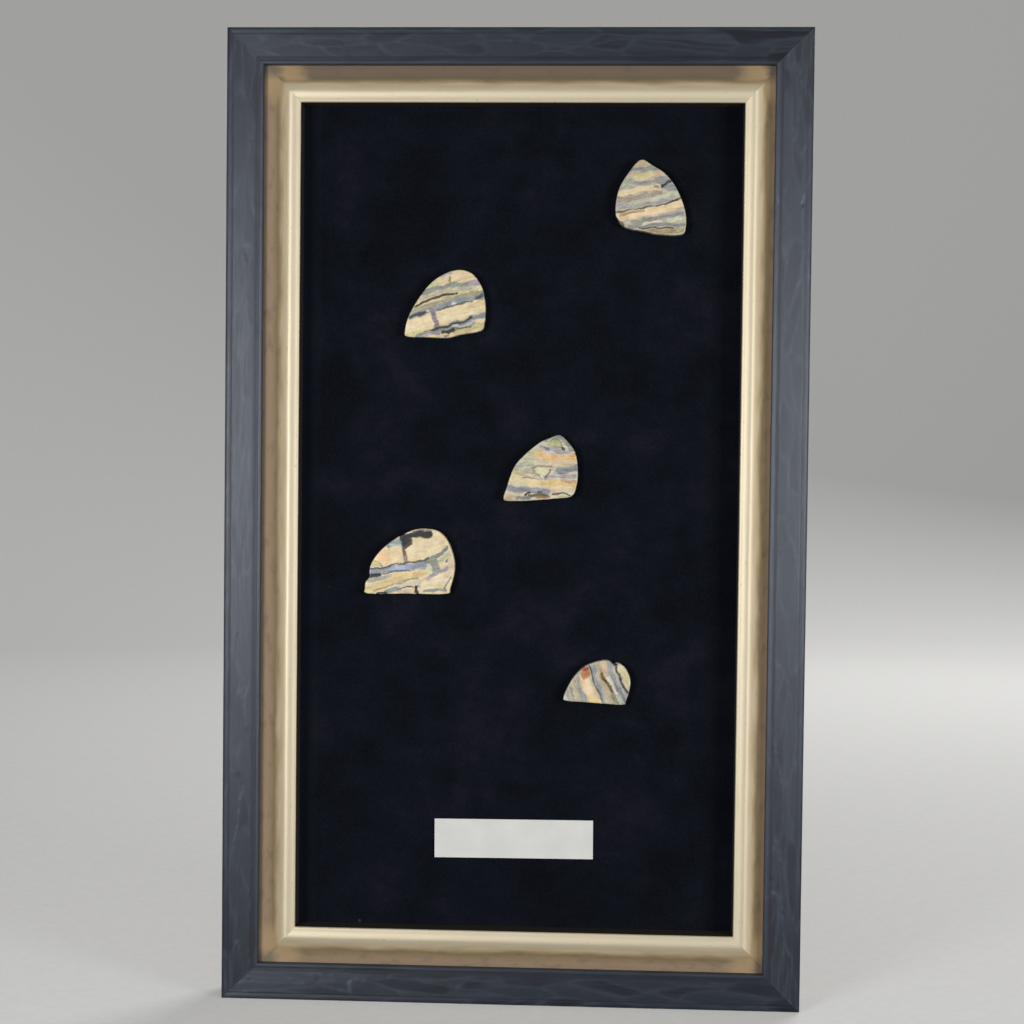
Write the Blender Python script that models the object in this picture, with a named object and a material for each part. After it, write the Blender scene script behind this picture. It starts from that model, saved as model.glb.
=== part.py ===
"""A wall frame that shows five polished slices of fossil mammoth tusk on dark velvet.

The frame hangs upright: +X is to the right seen from the front, +Z is up and the front
looks towards -Y. The wall is the plane y = 0, and the origin is the notch in the hanger
that sits on the wall's nail.

Every moulding is drawn once as a profile of (u, v) points: u runs inwards from the outer
edge of the frame and v runs forwards from the back of the outer rails.
"""

import math

import bmesh
import bpy
from mathutils import Matrix, Vector

MM = 0.001
TOUCH_GAP = 0.3 * MM          # left between two pieces that touch

# Overall frame
FRAME_WIDTH = 266.0 * MM
FRAME_HEIGHT = 446.0 * MM
RAIL_DEPTH = 24.0 * MM
WALL_GAP = 2.5 * MM           # the rails stand this far off the wall, on hanger and bumpers
HANGER_DROP = 8.0 * MM        # from the top of the frame down to the hanger's notch

# Outer rail section
RAIL_SIGHT = 17.1 * MM        # visible width of the dark rail
REBATE_U = 10.5 * MM          # where the rebate starts, from the outer edge
LIP_BACK_V = 20.5 * MM        # underside of the lip that covers the slip
RIM_RADIUS = 2.0 * MM
RIM_V = 23.6 * MM
GROOVE_V = 23.2 * MM
INNER_CHAMFER = 0.9 * MM
BEAD_RADIUS = 1.0 * MM

# Gold slip section
SLIP_HIDDEN_U = 12.5 * MM     # its hidden outer edge, inside the rebate
SLIP_SIDE_SIGHT_U = 32.4 * MM   # its inner edge on the two upright sides
SLIP_END_SIGHT_U = 33.9 * MM    # and on the top and bottom, where a little more shows
SLIP_BACK_V = 11.0 * MM
SLIP_BAND_V = 20.0 * MM       # flat brown band
SLIP_BAND_END_U = 22.6 * MM
SLIP_CREST_U = 28.2 * MM
SLIP_CREST_V = 22.4 * MM
SLIP_NOSE_V = 21.5 * MM       # where the gentle fall from the crest meets the round nose
SLIP_NOSE_RADIUS = 0.9 * MM
SLIP_SHIFT = Vector((1.65 * MM, 0.0, 0.0))   # the slip sits a little off centre

# Layers behind the slip
LAYER_PLAY = 0.8 * MM         # between the boards' edges and the rebate
VELVET_THICKNESS = 0.7 * MM
MOUNT_THICKNESS = 3.0 * MM
BACKING_THICKNESS = 2.8 * MM

# Tusk slices
SLICE_THICKNESS = 4.5 * MM
SLICE_EDGE = 0.6 * MM         # rounding of the polished front edge
OUTLINE_STEPS = 4             # points drawn between two outline points

# Label card
LABEL_WIDTH = 73.5 * MM
LABEL_HEIGHT = 18.0 * MM
LABEL_THICKNESS = 0.35 * MM
LABEL_CENTRE = (1.2 * MM, -148.2 * MM)
LABEL_TURN = math.radians(-0.4)

# Hanger, nails, bumpers and framer's points on the back
HANGER_LENGTH = 44.0 * MM
HANGER_TOP_U = 1.6 * MM
HANGER_PLATE = 0.7 * MM
HANGER_RISE = 0.9 * MM        # the toothed middle stands this far off the ends
HANGER_FOOT = 7.0 * MM        # length of each flat end
HANGER_SLOPE = 1.5 * MM
TOOTH_COUNT = 9
TOOTH_DEPTH = 1.6 * MM
NAIL_SPACING = 37.0 * MM
NAIL_SHANK_RADIUS = 0.6 * MM
NAIL_HEAD_RADIUS = 1.6 * MM
NAIL_HEAD_THICKNESS = 0.5 * MM
NAIL_LENGTH = 6.0 * MM
NAIL_HOLE_RADIUS = 1.0 * MM
BUMPER_RADIUS = 4.4 * MM
BUMPER_INSET = 20.0 * MM      # from the sides of the frame
BUMPER_U = 5.3 * MM
POINT_WIDTH = 7.0 * MM
POINT_LENGTH = 12.0 * MM
POINT_THICKNESS = 0.4 * MM
POINT_TIP_LIFT = 1.0 * MM

HALF_WIDTH = FRAME_WIDTH / 2
HALF_HEIGHT = FRAME_HEIGHT / 2
VELVET_FRONT_V = SLIP_BACK_V - TOUCH_GAP
VELVET_BACK_V = VELVET_FRONT_V - VELVET_THICKNESS
MOUNT_FRONT_V = VELVET_BACK_V - TOUCH_GAP
MOUNT_BACK_V = MOUNT_FRONT_V - MOUNT_THICKNESS
BACKING_FRONT_V = MOUNT_BACK_V - TOUCH_GAP
BACKING_BACK_V = BACKING_FRONT_V - BACKING_THICKNESS

# Each slice: centre on the velvet and outline round it, in millimetres, clockwise from
# the top as seen from the front.
SLICES = {
    "tusk_slice_top_right": ((60.7, 147.5), [
        (-5.0, 17.1), (0.4, 14.7), (5.9, 11.2), (10.6, 5.8), (13.9, -0.8), (15.8, -7.0),
        (16.1, -13.0), (14.8, -16.4), (9.5, -17.1), (2.0, -16.5), (-4.4, -15.2),
        (-10.9, -13.9), (-14.9, -10.4), (-16.2, -5.5), (-14.8, 3.3), (-10.6, 10.9)]),
    "tusk_slice_upper_left": ((-32.8, 98.6), [
        (6.6, 15.6), (11.6, 14.3), (14.6, 11.4), (17.3, 6.4), (18.5, -1.6), (18.1, -8.8),
        (16.2, -12.3), (7.0, -14.1), (1.1, -15.6), (-8.0, -15.4), (-17.4, -15.1),
        (-18.5, -12.7), (-16.7, -5.4), (-11.4, 3.7), (-6.0, 10.1), (0.5, 14.2)]),
    "tusk_slice_centre": ((11.9, 23.7), [
        (8.6, 15.3), (12.3, 12.3), (15.6, 7.7), (17.0, 0.5), (16.6, -7.5), (14.2, -12.7),
        (6.2, -13.9), (-5.0, -14.9), (-15.0, -15.2), (-17.0, -13.8), (-15.6, -9.0),
        (-12.4, 0.2), (-7.6, 6.0), (-1.2, 11.4), (4.1, 14.1)]),
    "tusk_slice_left": ((-47.9, -19.9), [
        (2.3, 14.8), (8.2, 15.2), (13.4, 13.9), (17.6, 9.3), (20.3, 1.6), (20.6, -4.4),
        (18.6, -12.4), (16.6, -14.8), (-1.0, -14.9), (-19.2, -15.1), (-20.8, -12.6),
        (-20.3, -9.3), (-18.9, -7.6), (-18.6, -3.0), (-16.1, 2.0), (-11.0, 7.5),
        (-4.5, 11.9)]),
    "tusk_slice_lower_right": ((39.0, -74.3), [
        (4.2, 10.3), (6.9, 9.1), (9.7, 9.0), (13.0, 6.5), (15.2, 1.4), (14.8, -3.8),
        (13.4, -8.2), (12.3, -10.2), (3.6, -9.9), (-4.3, -9.4), (-14.3, -8.8),
        (-15.4, -7.2), (-14.2, -3.8), (-11.0, 2.0), (-6.4, 6.8), (-0.9, 9.4)]),
}


def clear_scene():
    """Remove whatever the open file holds."""
    for old in list(bpy.data.objects):
        bpy.data.objects.remove(old, do_unlink=True)


def finish(name, colour, roughness, metallic=0.0):
    """Return a Principled material."""
    material = bpy.data.materials.new(name)
    material.use_nodes = True
    shader = material.node_tree.nodes["Principled BSDF"]
    shader.inputs["Base Color"].default_value = (*colour, 1.0)
    shader.inputs["Roughness"].default_value = roughness
    shader.inputs["Metallic"].default_value = metallic
    return material


def front(v):
    """World y of a depth v, which is measured forwards from the back of the rails."""
    return -(WALL_GAP + v)


def add_object(name, bm, material, parent, location=(0, 0, 0), turn=0.0):
    """Turn a bmesh into an object under the frame's centre, turned about the Y axis."""
    bmesh.ops.recalc_face_normals(bm, faces=bm.faces)
    mesh = bpy.data.meshes.new(name)
    bm.to_mesh(mesh)
    bm.free()
    mesh.materials.append(material)
    piece = bpy.data.objects.new(name, mesh)
    piece.parent = parent
    piece.location = location
    piece.rotation_euler = (0.0, turn, 0.0)
    bpy.context.scene.collection.objects.link(piece)
    return piece


def extruded(points, move):
    """Return a bmesh of the closed outline through points, extruded by the vector move."""
    bm = bmesh.new()
    face = bm.faces.new([bm.verts.new(point) for point in points])
    grown = bmesh.ops.extrude_face_region(bm, geom=[face], use_keep_orig=True)
    new_verts = [item for item in grown["geom"] if isinstance(item, bmesh.types.BMVert)]
    bmesh.ops.translate(bm, verts=new_verts, vec=move)
    return bm


def arc(centre_u, centre_v, radius, start, end, steps):
    """Points of an arc in the (u, v) plane, angles in degrees."""
    angles = [math.radians(start + (end - start) * i / steps) for i in range(steps + 1)]
    return [(centre_u + radius * math.cos(a), centre_v + radius * math.sin(a)) for a in angles]


def outer_profile():
    """Dark rail: rounded rim, fine groove, flat face, chamfer and a bead at the sight edge."""
    rim = arc(RIM_RADIUS, RIM_V - RIM_RADIUS, RIM_RADIUS, 180, 90, 5)
    groove = [(2.6 * MM, RIM_V), (2.8 * MM, GROOVE_V), (3.1 * MM, GROOVE_V),
              (3.4 * MM, RAIL_DEPTH - 0.2 * MM), (3.9 * MM, RAIL_DEPTH)]
    chamfer_u = RAIL_SIGHT - 3.8 * MM
    chamfer = [(chamfer_u, RAIL_DEPTH), (chamfer_u + 1.2 * MM, RAIL_DEPTH - INNER_CHAMFER),
               (chamfer_u + 1.6 * MM, RAIL_DEPTH - INNER_CHAMFER)]
    bead_v = RAIL_DEPTH - INNER_CHAMFER - 0.5 * MM
    bead = arc(RAIL_SIGHT - BEAD_RADIUS, bead_v, BEAD_RADIUS, 145, 0, 5)
    rebate = [(RAIL_SIGHT, LIP_BACK_V), (REBATE_U, LIP_BACK_V), (REBATE_U, 0.0)]
    return [(0.0, 0.0)] + rim + groove + chamfer + bead + rebate


def slip_profile(sight_u):
    """Gold slip: flat band, S-shaped rise to the crest, gentle fall and a round nose.

    It is drawn for the upright sides, and stretched across until sight_u is its inner edge.
    """
    points = [(SLIP_HIDDEN_U, SLIP_BACK_V), (SLIP_HIDDEN_U, SLIP_BAND_V)]
    rise_steps = 8
    for i in range(rise_steps + 1):
        t = i / rise_steps
        u = SLIP_BAND_END_U + (SLIP_CREST_U - SLIP_BAND_END_U) * t
        swell = (1 - math.cos(math.pi * t)) / 2
        points.append((u, SLIP_BAND_V + (SLIP_CREST_V - SLIP_BAND_V) * swell))
    fall_end_u = SLIP_SIDE_SIGHT_U - SLIP_NOSE_RADIUS
    fall_steps = 5
    for i in range(1, fall_steps + 1):
        t = i / fall_steps
        points.append((SLIP_CREST_U + (fall_end_u - SLIP_CREST_U) * t,
                       SLIP_CREST_V - (SLIP_CREST_V - SLIP_NOSE_V) * t ** 2))
    nose = arc(fall_end_u, SLIP_NOSE_V - SLIP_NOSE_RADIUS, SLIP_NOSE_RADIUS, 66, 0, 4)
    points += nose + [(SLIP_SIDE_SIGHT_U, SLIP_BACK_V)]
    stretch = (sight_u - SLIP_HIDDEN_U) / (SLIP_SIDE_SIGHT_U - SLIP_HIDDEN_U)
    return [(SLIP_HIDDEN_U + (u - SLIP_HIDDEN_U) * stretch, v) for u, v in points]


def mitred_rail(name, profile, meets, half_length, half_span, turn, material, parent, shift):
    """One side of a mitred frame, drawn as the top side and turned into its place.

    half_length is half the frame's outer size along the rail, and half_span is half of it
    across. Its ends lie half a gap inside the plane that runs from the outer to the sight
    edge of both this profile and meets, the profile of the rails at its ends.
    """
    outer_u = profile[0][0]
    slope = (max(meets)[0] - outer_u) / (max(profile)[0] - outer_u)
    mitre_gap = TOUCH_GAP / 2 * math.sqrt(2)
    start = [Vector((-half_length, front(v), half_span - u)) for u, v in profile]
    bm = extruded(start, Vector((2 * half_length, 0, 0)))
    for vert in bm.verts:
        inset = outer_u + (half_span - vert.co.z - outer_u) * slope
        vert.co.x -= math.copysign(inset + mitre_gap, vert.co.x)
    return add_object(name, bm, material, parent, shift, turn)


def build_mitred_frame(prefix, end, upright, material, parent, shift=Vector((0, 0, 0))):
    """The four sides of one moulding, from its profile at top and bottom and upright."""
    sides = (("top", end, upright, HALF_WIDTH, HALF_HEIGHT, 0),
             ("right", upright, end, HALF_HEIGHT, HALF_WIDTH, 90),
             ("bottom", end, upright, HALF_WIDTH, HALF_HEIGHT, 180),
             ("left", upright, end, HALF_HEIGHT, HALF_WIDTH, 270))
    return {side: mitred_rail(f"{prefix}_{side}", profile, meets, length, span,
                              math.radians(turn), material, parent, shift)
            for side, profile, meets, length, span, turn in sides}


def build_layer(name, back_v, thickness, material, parent):
    """A flat sheet that fills the rebate."""
    half_x = HALF_WIDTH - REBATE_U - LAYER_PLAY
    half_z = HALF_HEIGHT - REBATE_U - LAYER_PLAY
    corners = [Vector((x, front(back_v), z)) for x, z in
               ((-half_x, -half_z), (half_x, -half_z), (half_x, half_z), (-half_x, half_z))]
    return add_object(name, extruded(corners, Vector((0, -thickness, 0))), material, parent)


def smooth_outline(points, steps):
    """Closed Catmull-Rom curve through the points."""
    count = len(points)
    curve = []
    for i in range(count):
        p0, p1, p2, p3 = (Vector(points[(i + k - 1) % count]) for k in range(4))
        for j in range(steps):
            t = j / steps
            curve.append(0.5 * (2 * p1 + (p2 - p0) * t + (2 * p0 - 5 * p1 + 4 * p2 - p3) * t ** 2
                                + (3 * p1 - p0 - 3 * p2 + p3) * t ** 3))
    return curve


def build_slice(name, centre, outline, material, parent):
    """A flat slice of tusk glued to the velvet, with its front edge polished round."""
    back_y = front(VELVET_FRONT_V + TOUCH_GAP)
    curve = smooth_outline(outline, OUTLINE_STEPS)
    points = [Vector((p.x * MM, back_y, p.y * MM)) for p in curve]
    bm = extruded(points, Vector((0, -SLICE_THICKNESS, 0)))
    front_y = back_y - SLICE_THICKNESS
    rim = [edge for edge in bm.edges
           if all(abs(vert.co.y - front_y) < 0.01 * MM for vert in edge.verts)]
    bmesh.ops.bevel(bm, geom=rim, offset=SLICE_EDGE, offset_type="OFFSET", affect="EDGES",
                    segments=3, profile=0.5, material=-1, clamp_overlap=True)
    location = (centre[0] * MM, 0.0, centre[1] * MM)
    return add_object(name, bm, material, parent, location)


def build_label(material, parent):
    """The bare card under the slices."""
    y = front(VELVET_FRONT_V + TOUCH_GAP)
    corners = [Vector((x * LABEL_WIDTH / 2, y, z * LABEL_HEIGHT / 2))
               for x, z in ((-1, -1), (1, -1), (1, 1), (-1, 1))]
    bm = extruded(corners, Vector((0, -LABEL_THICKNESS, 0)))
    location = (LABEL_CENTRE[0], 0.0, LABEL_CENTRE[1])
    return add_object("label_card", bm, material, parent, location, LABEL_TURN)


def add_cut(piece, cutter):
    """Cut one object out of another and leave the cutter as a hidden guide."""
    cutter.hide_render = True
    cutter.display_type = "WIRE"
    modifier = piece.modifiers.new(cutter.name, "BOOLEAN")
    modifier.operation = "DIFFERENCE"
    modifier.object = cutter
    modifier.solver = "EXACT"


def cylinder(bm, radius, y_from, y_to, x, z, sides=16):
    """Add a closed cylinder along Y to a bmesh."""
    middle = Vector((x, (y_from + y_to) / 2, z))
    place = Matrix.Translation(middle) @ Matrix.Rotation(math.pi / 2, 4, "X")
    bmesh.ops.create_cone(bm, cap_ends=True, segments=sides, radius1=radius, radius2=radius,
                          depth=abs(y_to - y_from), matrix=place)


def build_hanger(material, parent):
    """Sawtooth hanger: two flat feet and a raised middle with a toothed lower edge."""
    back_y = -WALL_GAP + TOUCH_GAP
    half = HANGER_LENGTH / 2
    top_z = HALF_HEIGHT - HANGER_TOP_U
    notch_z = HALF_HEIGHT - HANGER_DROP
    low_z = notch_z - TOOTH_DEPTH
    bends = [half - HANGER_FOOT, half - HANGER_FOOT - HANGER_SLOPE]
    tooth_half = bends[1] - 1.0 * MM
    teeth = [(-tooth_half + 2 * tooth_half * i / (2 * TOOTH_COUNT + 2),
              notch_z if i % 2 else low_z) for i in range(1, 2 * TOOTH_COUNT + 2)]
    top = [(x, top_z) for x in (half, bends[0], bends[1], 0.0, -bends[1], -bends[0], -half)]
    bottom = ([(-half, low_z), (-bends[0], low_z), (-bends[1], low_z)] + teeth
              + [(bends[1], low_z), (bends[0], low_z), (half, low_z)])
    outline = [Vector((x, back_y, z)) for x, z in top + bottom]
    bm = extruded(outline, Vector((0, HANGER_PLATE, 0)))
    bmesh.ops.triangulate(bm, faces=[face for face in bm.faces if len(face.verts) > 4])
    for vert in bm.verts:
        if abs(vert.co.x) < bends[1] + 0.1 * MM:
            vert.co.y += HANGER_RISE
    hanger = add_object("sawtooth_hanger", bm, material, parent)
    for side in (-1, 1):
        hole = bmesh.new()
        cylinder(hole, NAIL_HOLE_RADIUS, -WALL_GAP - 1 * MM, 0.0, side * NAIL_SPACING / 2,
                 (top_z + low_z) / 2)
        add_cut(hanger, add_object(f"hanger_hole_{side}", hole, material, parent))


def build_nails(material, parent, top_rail):
    """The hanger's two nails, in pilot holes in the top rail."""
    foot_back = -WALL_GAP + TOUCH_GAP + HANGER_PLATE
    z = HALF_HEIGHT - (HANGER_TOP_U + HANGER_DROP + TOOTH_DEPTH) / 2
    head_front = foot_back + TOUCH_GAP
    for side, word in ((-1, "left"), (1, "right")):
        x = side * NAIL_SPACING / 2
        nail = bmesh.new()
        cylinder(nail, NAIL_HEAD_RADIUS, head_front, head_front + NAIL_HEAD_THICKNESS, x, z)
        inner = [face for face in nail.faces if face.calc_center_median().y < head_front + 0.01 * MM]
        cap = min(inner, key=lambda face: face.calc_center_median().y)
        bmesh.ops.inset_region(nail, faces=[cap], thickness=NAIL_HEAD_RADIUS - NAIL_SHANK_RADIUS)
        bmesh.ops.recalc_face_normals(nail, faces=nail.faces)
        core = min((face for face in nail.faces if len(face.verts) > 4),
                   key=lambda face: face.calc_area())
        shank = bmesh.ops.extrude_discrete_faces(nail, faces=[core])["faces"]
        ends = {vert for face in shank for vert in face.verts}
        bmesh.ops.translate(nail, verts=list(ends), vec=(0, -NAIL_LENGTH, 0))
        add_object(f"hanger_nail_{word}", nail, material, parent)
        pilot = bmesh.new()
        cylinder(pilot, NAIL_HOLE_RADIUS, -WALL_GAP - NAIL_LENGTH, -WALL_GAP + 1 * MM, x, z)
        add_cut(top_rail, add_object(f"pilot_hole_{word}", pilot, material, parent))


def build_bumpers(material, parent):
    """Two round pads that keep the lower edge off the wall."""
    for side, word in ((-1, "left"), (1, "right")):
        bm = bmesh.new()
        cylinder(bm, BUMPER_RADIUS, -WALL_GAP + TOUCH_GAP, 0.0, side * (HALF_WIDTH - BUMPER_INSET),
                 -HALF_HEIGHT + BUMPER_U, 24)
        rim = [edge for edge in bm.edges if all(vert.co.y > -0.01 * MM for vert in edge.verts)]
        bmesh.ops.bevel(bm, geom=rim, offset=0.5 * MM, affect="EDGES", segments=2, profile=0.5,
                        material=-1)
        add_object(f"wall_bumper_{word}", bm, material, parent)


def build_points(material, parent):
    """Flat steel framer's points that hold the backing in, with their tips bent up."""
    back_v = BACKING_BACK_V - TOUCH_GAP
    rebate_x = HALF_WIDTH - REBATE_U - TOUCH_GAP
    rebate_z = HALF_HEIGHT - REBATE_U - TOUCH_GAP
    places = [("left", 270, rebate_x, z) for z in (-0.5, 0.5)]
    places += [("right", 90, rebate_x, z) for z in (-0.5, 0.5)]
    places += [("top", 0, rebate_z, 0.0), ("bottom", 180, rebate_z, 0.0)]
    half = POINT_WIDTH / 2
    clip = 1.5 * MM
    for side, turn, reach, along in places:
        bend = reach - POINT_LENGTH * 0.6
        tip = reach - POINT_LENGTH
        outline = [(-half, reach), (-half, bend), (-half + clip, tip), (half - clip, tip),
                   (half, bend), (half, reach)]
        bm = extruded([Vector((x, front(back_v), z)) for x, z in outline],
                      Vector((0, POINT_THICKNESS, 0)))
        bmesh.ops.bisect_plane(bm, geom=bm.verts[:] + bm.edges[:] + bm.faces[:], dist=1e-7,
                               plane_co=(0, 0, bend), plane_no=(0, 0, 1))
        for vert in bm.verts:
            if vert.co.z < bend - 0.01 * MM:
                vert.co.y += POINT_TIP_LIFT
        angle = math.radians(turn)
        slide = Matrix.Rotation(angle, 4, "Y") @ Vector((along * FRAME_HEIGHT / 2, 0, 0))
        word = "" if along == 0 else ("_upper" if slide.z > 0 else "_lower")
        add_object(f"framers_point_{side}{word}", bm, material, parent, slide, angle)


def main():
    clear_scene()
    charcoal_wood = finish("charcoal_wood", (0.05, 0.06, 0.075), 0.5)
    gilded_wood = finish("gilded_wood", (0.60, 0.50, 0.33), 0.4, 0.6)
    velvet = finish("velvet", (0.006, 0.007, 0.012), 1.0)
    board = finish("mount_board", (0.75, 0.73, 0.68), 0.9)
    hardboard = finish("hardboard", (0.30, 0.18, 0.09), 0.8)
    tusk = finish("fossil_ivory", (0.72, 0.60, 0.40), 0.35)
    card = finish("card", (0.63, 0.64, 0.61), 0.9)
    steel = finish("plated_steel", (0.62, 0.60, 0.55), 0.35, 1.0)
    rubber = finish("bumper_rubber", (0.04, 0.04, 0.04), 0.8)

    centre = bpy.data.objects.new("frame_centre", None)
    centre.location = (0.0, 0.0, HANGER_DROP - HALF_HEIGHT)
    bpy.context.scene.collection.objects.link(centre)

    rail = outer_profile()
    rails = build_mitred_frame("outer_rail", rail, rail, charcoal_wood, centre)
    build_mitred_frame("gold_slip", slip_profile(SLIP_END_SIGHT_U),
                       slip_profile(SLIP_SIDE_SIGHT_U), gilded_wood, centre, SLIP_SHIFT)
    build_layer("velvet_panel", VELVET_BACK_V, VELVET_THICKNESS, velvet, centre)
    build_layer("mount_board", MOUNT_BACK_V, MOUNT_THICKNESS, board, centre)
    build_layer("backing_board", BACKING_BACK_V, BACKING_THICKNESS, hardboard, centre)
    for name, (middle, outline) in SLICES.items():
        build_slice(name, middle, outline, tusk, centre)
    build_label(card, centre)
    build_hanger(steel, centre)
    build_nails(steel, centre, rails["top"])
    build_bumpers(rubber, centre)
    build_points(steel, centre)


main()
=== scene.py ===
"""Looks of a wall frame with five polished slices of fossil mammoth tusk on dark velvet.

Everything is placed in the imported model's frame: +X is to the right seen from the front, +Z is
up, the front looks towards -Y and the origin is the notch in the hanger. Each moulding is drawn
as a section of (u, v) points in millimetres: u runs inwards from the outer edge of the frame
and v runs forwards from the back of the rails.
"""

from collections import namedtuple
import math

import bmesh
import bpy
import numpy as np
from mathutils import Euler, Matrix, Vector, noise


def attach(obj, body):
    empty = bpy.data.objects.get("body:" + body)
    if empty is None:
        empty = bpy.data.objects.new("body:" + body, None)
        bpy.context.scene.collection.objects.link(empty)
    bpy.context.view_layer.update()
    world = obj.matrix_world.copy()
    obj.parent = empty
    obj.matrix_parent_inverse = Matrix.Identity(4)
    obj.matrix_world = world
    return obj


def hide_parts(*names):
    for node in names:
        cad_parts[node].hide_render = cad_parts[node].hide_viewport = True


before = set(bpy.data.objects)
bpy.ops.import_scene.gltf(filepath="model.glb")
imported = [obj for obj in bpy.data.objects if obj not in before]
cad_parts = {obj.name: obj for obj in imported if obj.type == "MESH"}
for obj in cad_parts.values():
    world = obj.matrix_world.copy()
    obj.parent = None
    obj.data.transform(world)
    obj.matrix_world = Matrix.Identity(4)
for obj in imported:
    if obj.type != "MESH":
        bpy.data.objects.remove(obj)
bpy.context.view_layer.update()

MM = 0.001

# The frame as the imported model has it, in millimetres
WIDTH, HEIGHT = 266.0, 446.0
CENTRE = Vector((0.0, 0.0, 8.0 - HEIGHT / 2)) * MM
WALL_GAP = 2.5                # the rails stand this far off the wall
RAIL_DEPTH = 24.0
RAIL_SIGHT_U = 17.1
REBATE_U = 10.5
LIP_BACK_V = 20.5
SLIP_HIDDEN_U, SLIP_BAND_END_U, SLIP_CREST_U = 12.5, 22.6, 28.2
SLIP_SIDE_SIGHT_U, SLIP_END_SIGHT_U = 32.4, 33.9
SLIP_BACK_V, SLIP_BAND_V, SLIP_NOSE_V, SLIP_CREST_V = 11.0, 20.0, 21.5, 22.4
SLIP_NOSE_RADIUS = 0.9
SLIP_SHIFT = Vector((1.65, 0.0, 0.0)) * MM
MITRE_GAP = 0.02              # each end of a rail stops this far short of the mitre
SIDES = (("top", 0, WIDTH / 2, HEIGHT / 2), ("right", 90, HEIGHT / 2, WIDTH / 2),
         ("bottom", 180, WIDTH / 2, HEIGHT / 2), ("left", 270, HEIGHT / 2, WIDTH / 2))

VELVET_WIDTH, VELVET_LENGTH = 243.4, 423.4
VELVET_FRONT_V, VELVET_THICKNESS = 10.7, 0.7
LABEL_WIDTH, LABEL_HEIGHT, LABEL_THICKNESS = 73.5, 18.0, 0.35
LABEL_X, LABEL_Z, LABEL_TURN = 1.2, -148.2, math.radians(-0.4)
LABEL_BACK_V = 11.0

# How finely the dressed pieces are divided
RAIL_PITCH = 1.0
SLIP_PITCH = 1.4
# Brown glaze on each side's band; the difference between sides is painted shade, heaviest on the
# top.
SLIP_GLAZE_AND_SHADE = {"top": 0.95, "right": 0.0, "bottom": 0.2, "left": 0.1}
SLICE_VOXEL = 0.22


# Faint lint on the velvet: x, z, radius and strength
VELVET_LINT = ((-70.3, -403.2, 0.9, 0.08), (-85.7, -247.3, 0.9, 0.016))

# Lights: name, place, width and height in metres, power and tint
LIGHTS = (
    ("left_softbox", (-0.62, -1.08, -0.18), (0.4, 0.48), 8.3, (1.0, 1.0, 1.0)),
    ("right_softbox", (1.02, -0.95, -0.18), (0.45, 0.48), 9.3, (1.0, 1.0, 1.0)),
    ("top_softbox", (0.0, -1.2, 0.85), (0.8, 0.4), 0.9, (0.97, 0.99, 1.0)),
    ("back_softbox", (0.8, 1.5, 0.8), (1.0, 1.0), 16.0, (1.0, 1.0, 1.0)),
)
SKY_STRENGTH = 0.11
PAPER_GLOW = 0.25

CRACK_SHADE = 0.11            # marks darker than this are cracks, and are sunk

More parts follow.
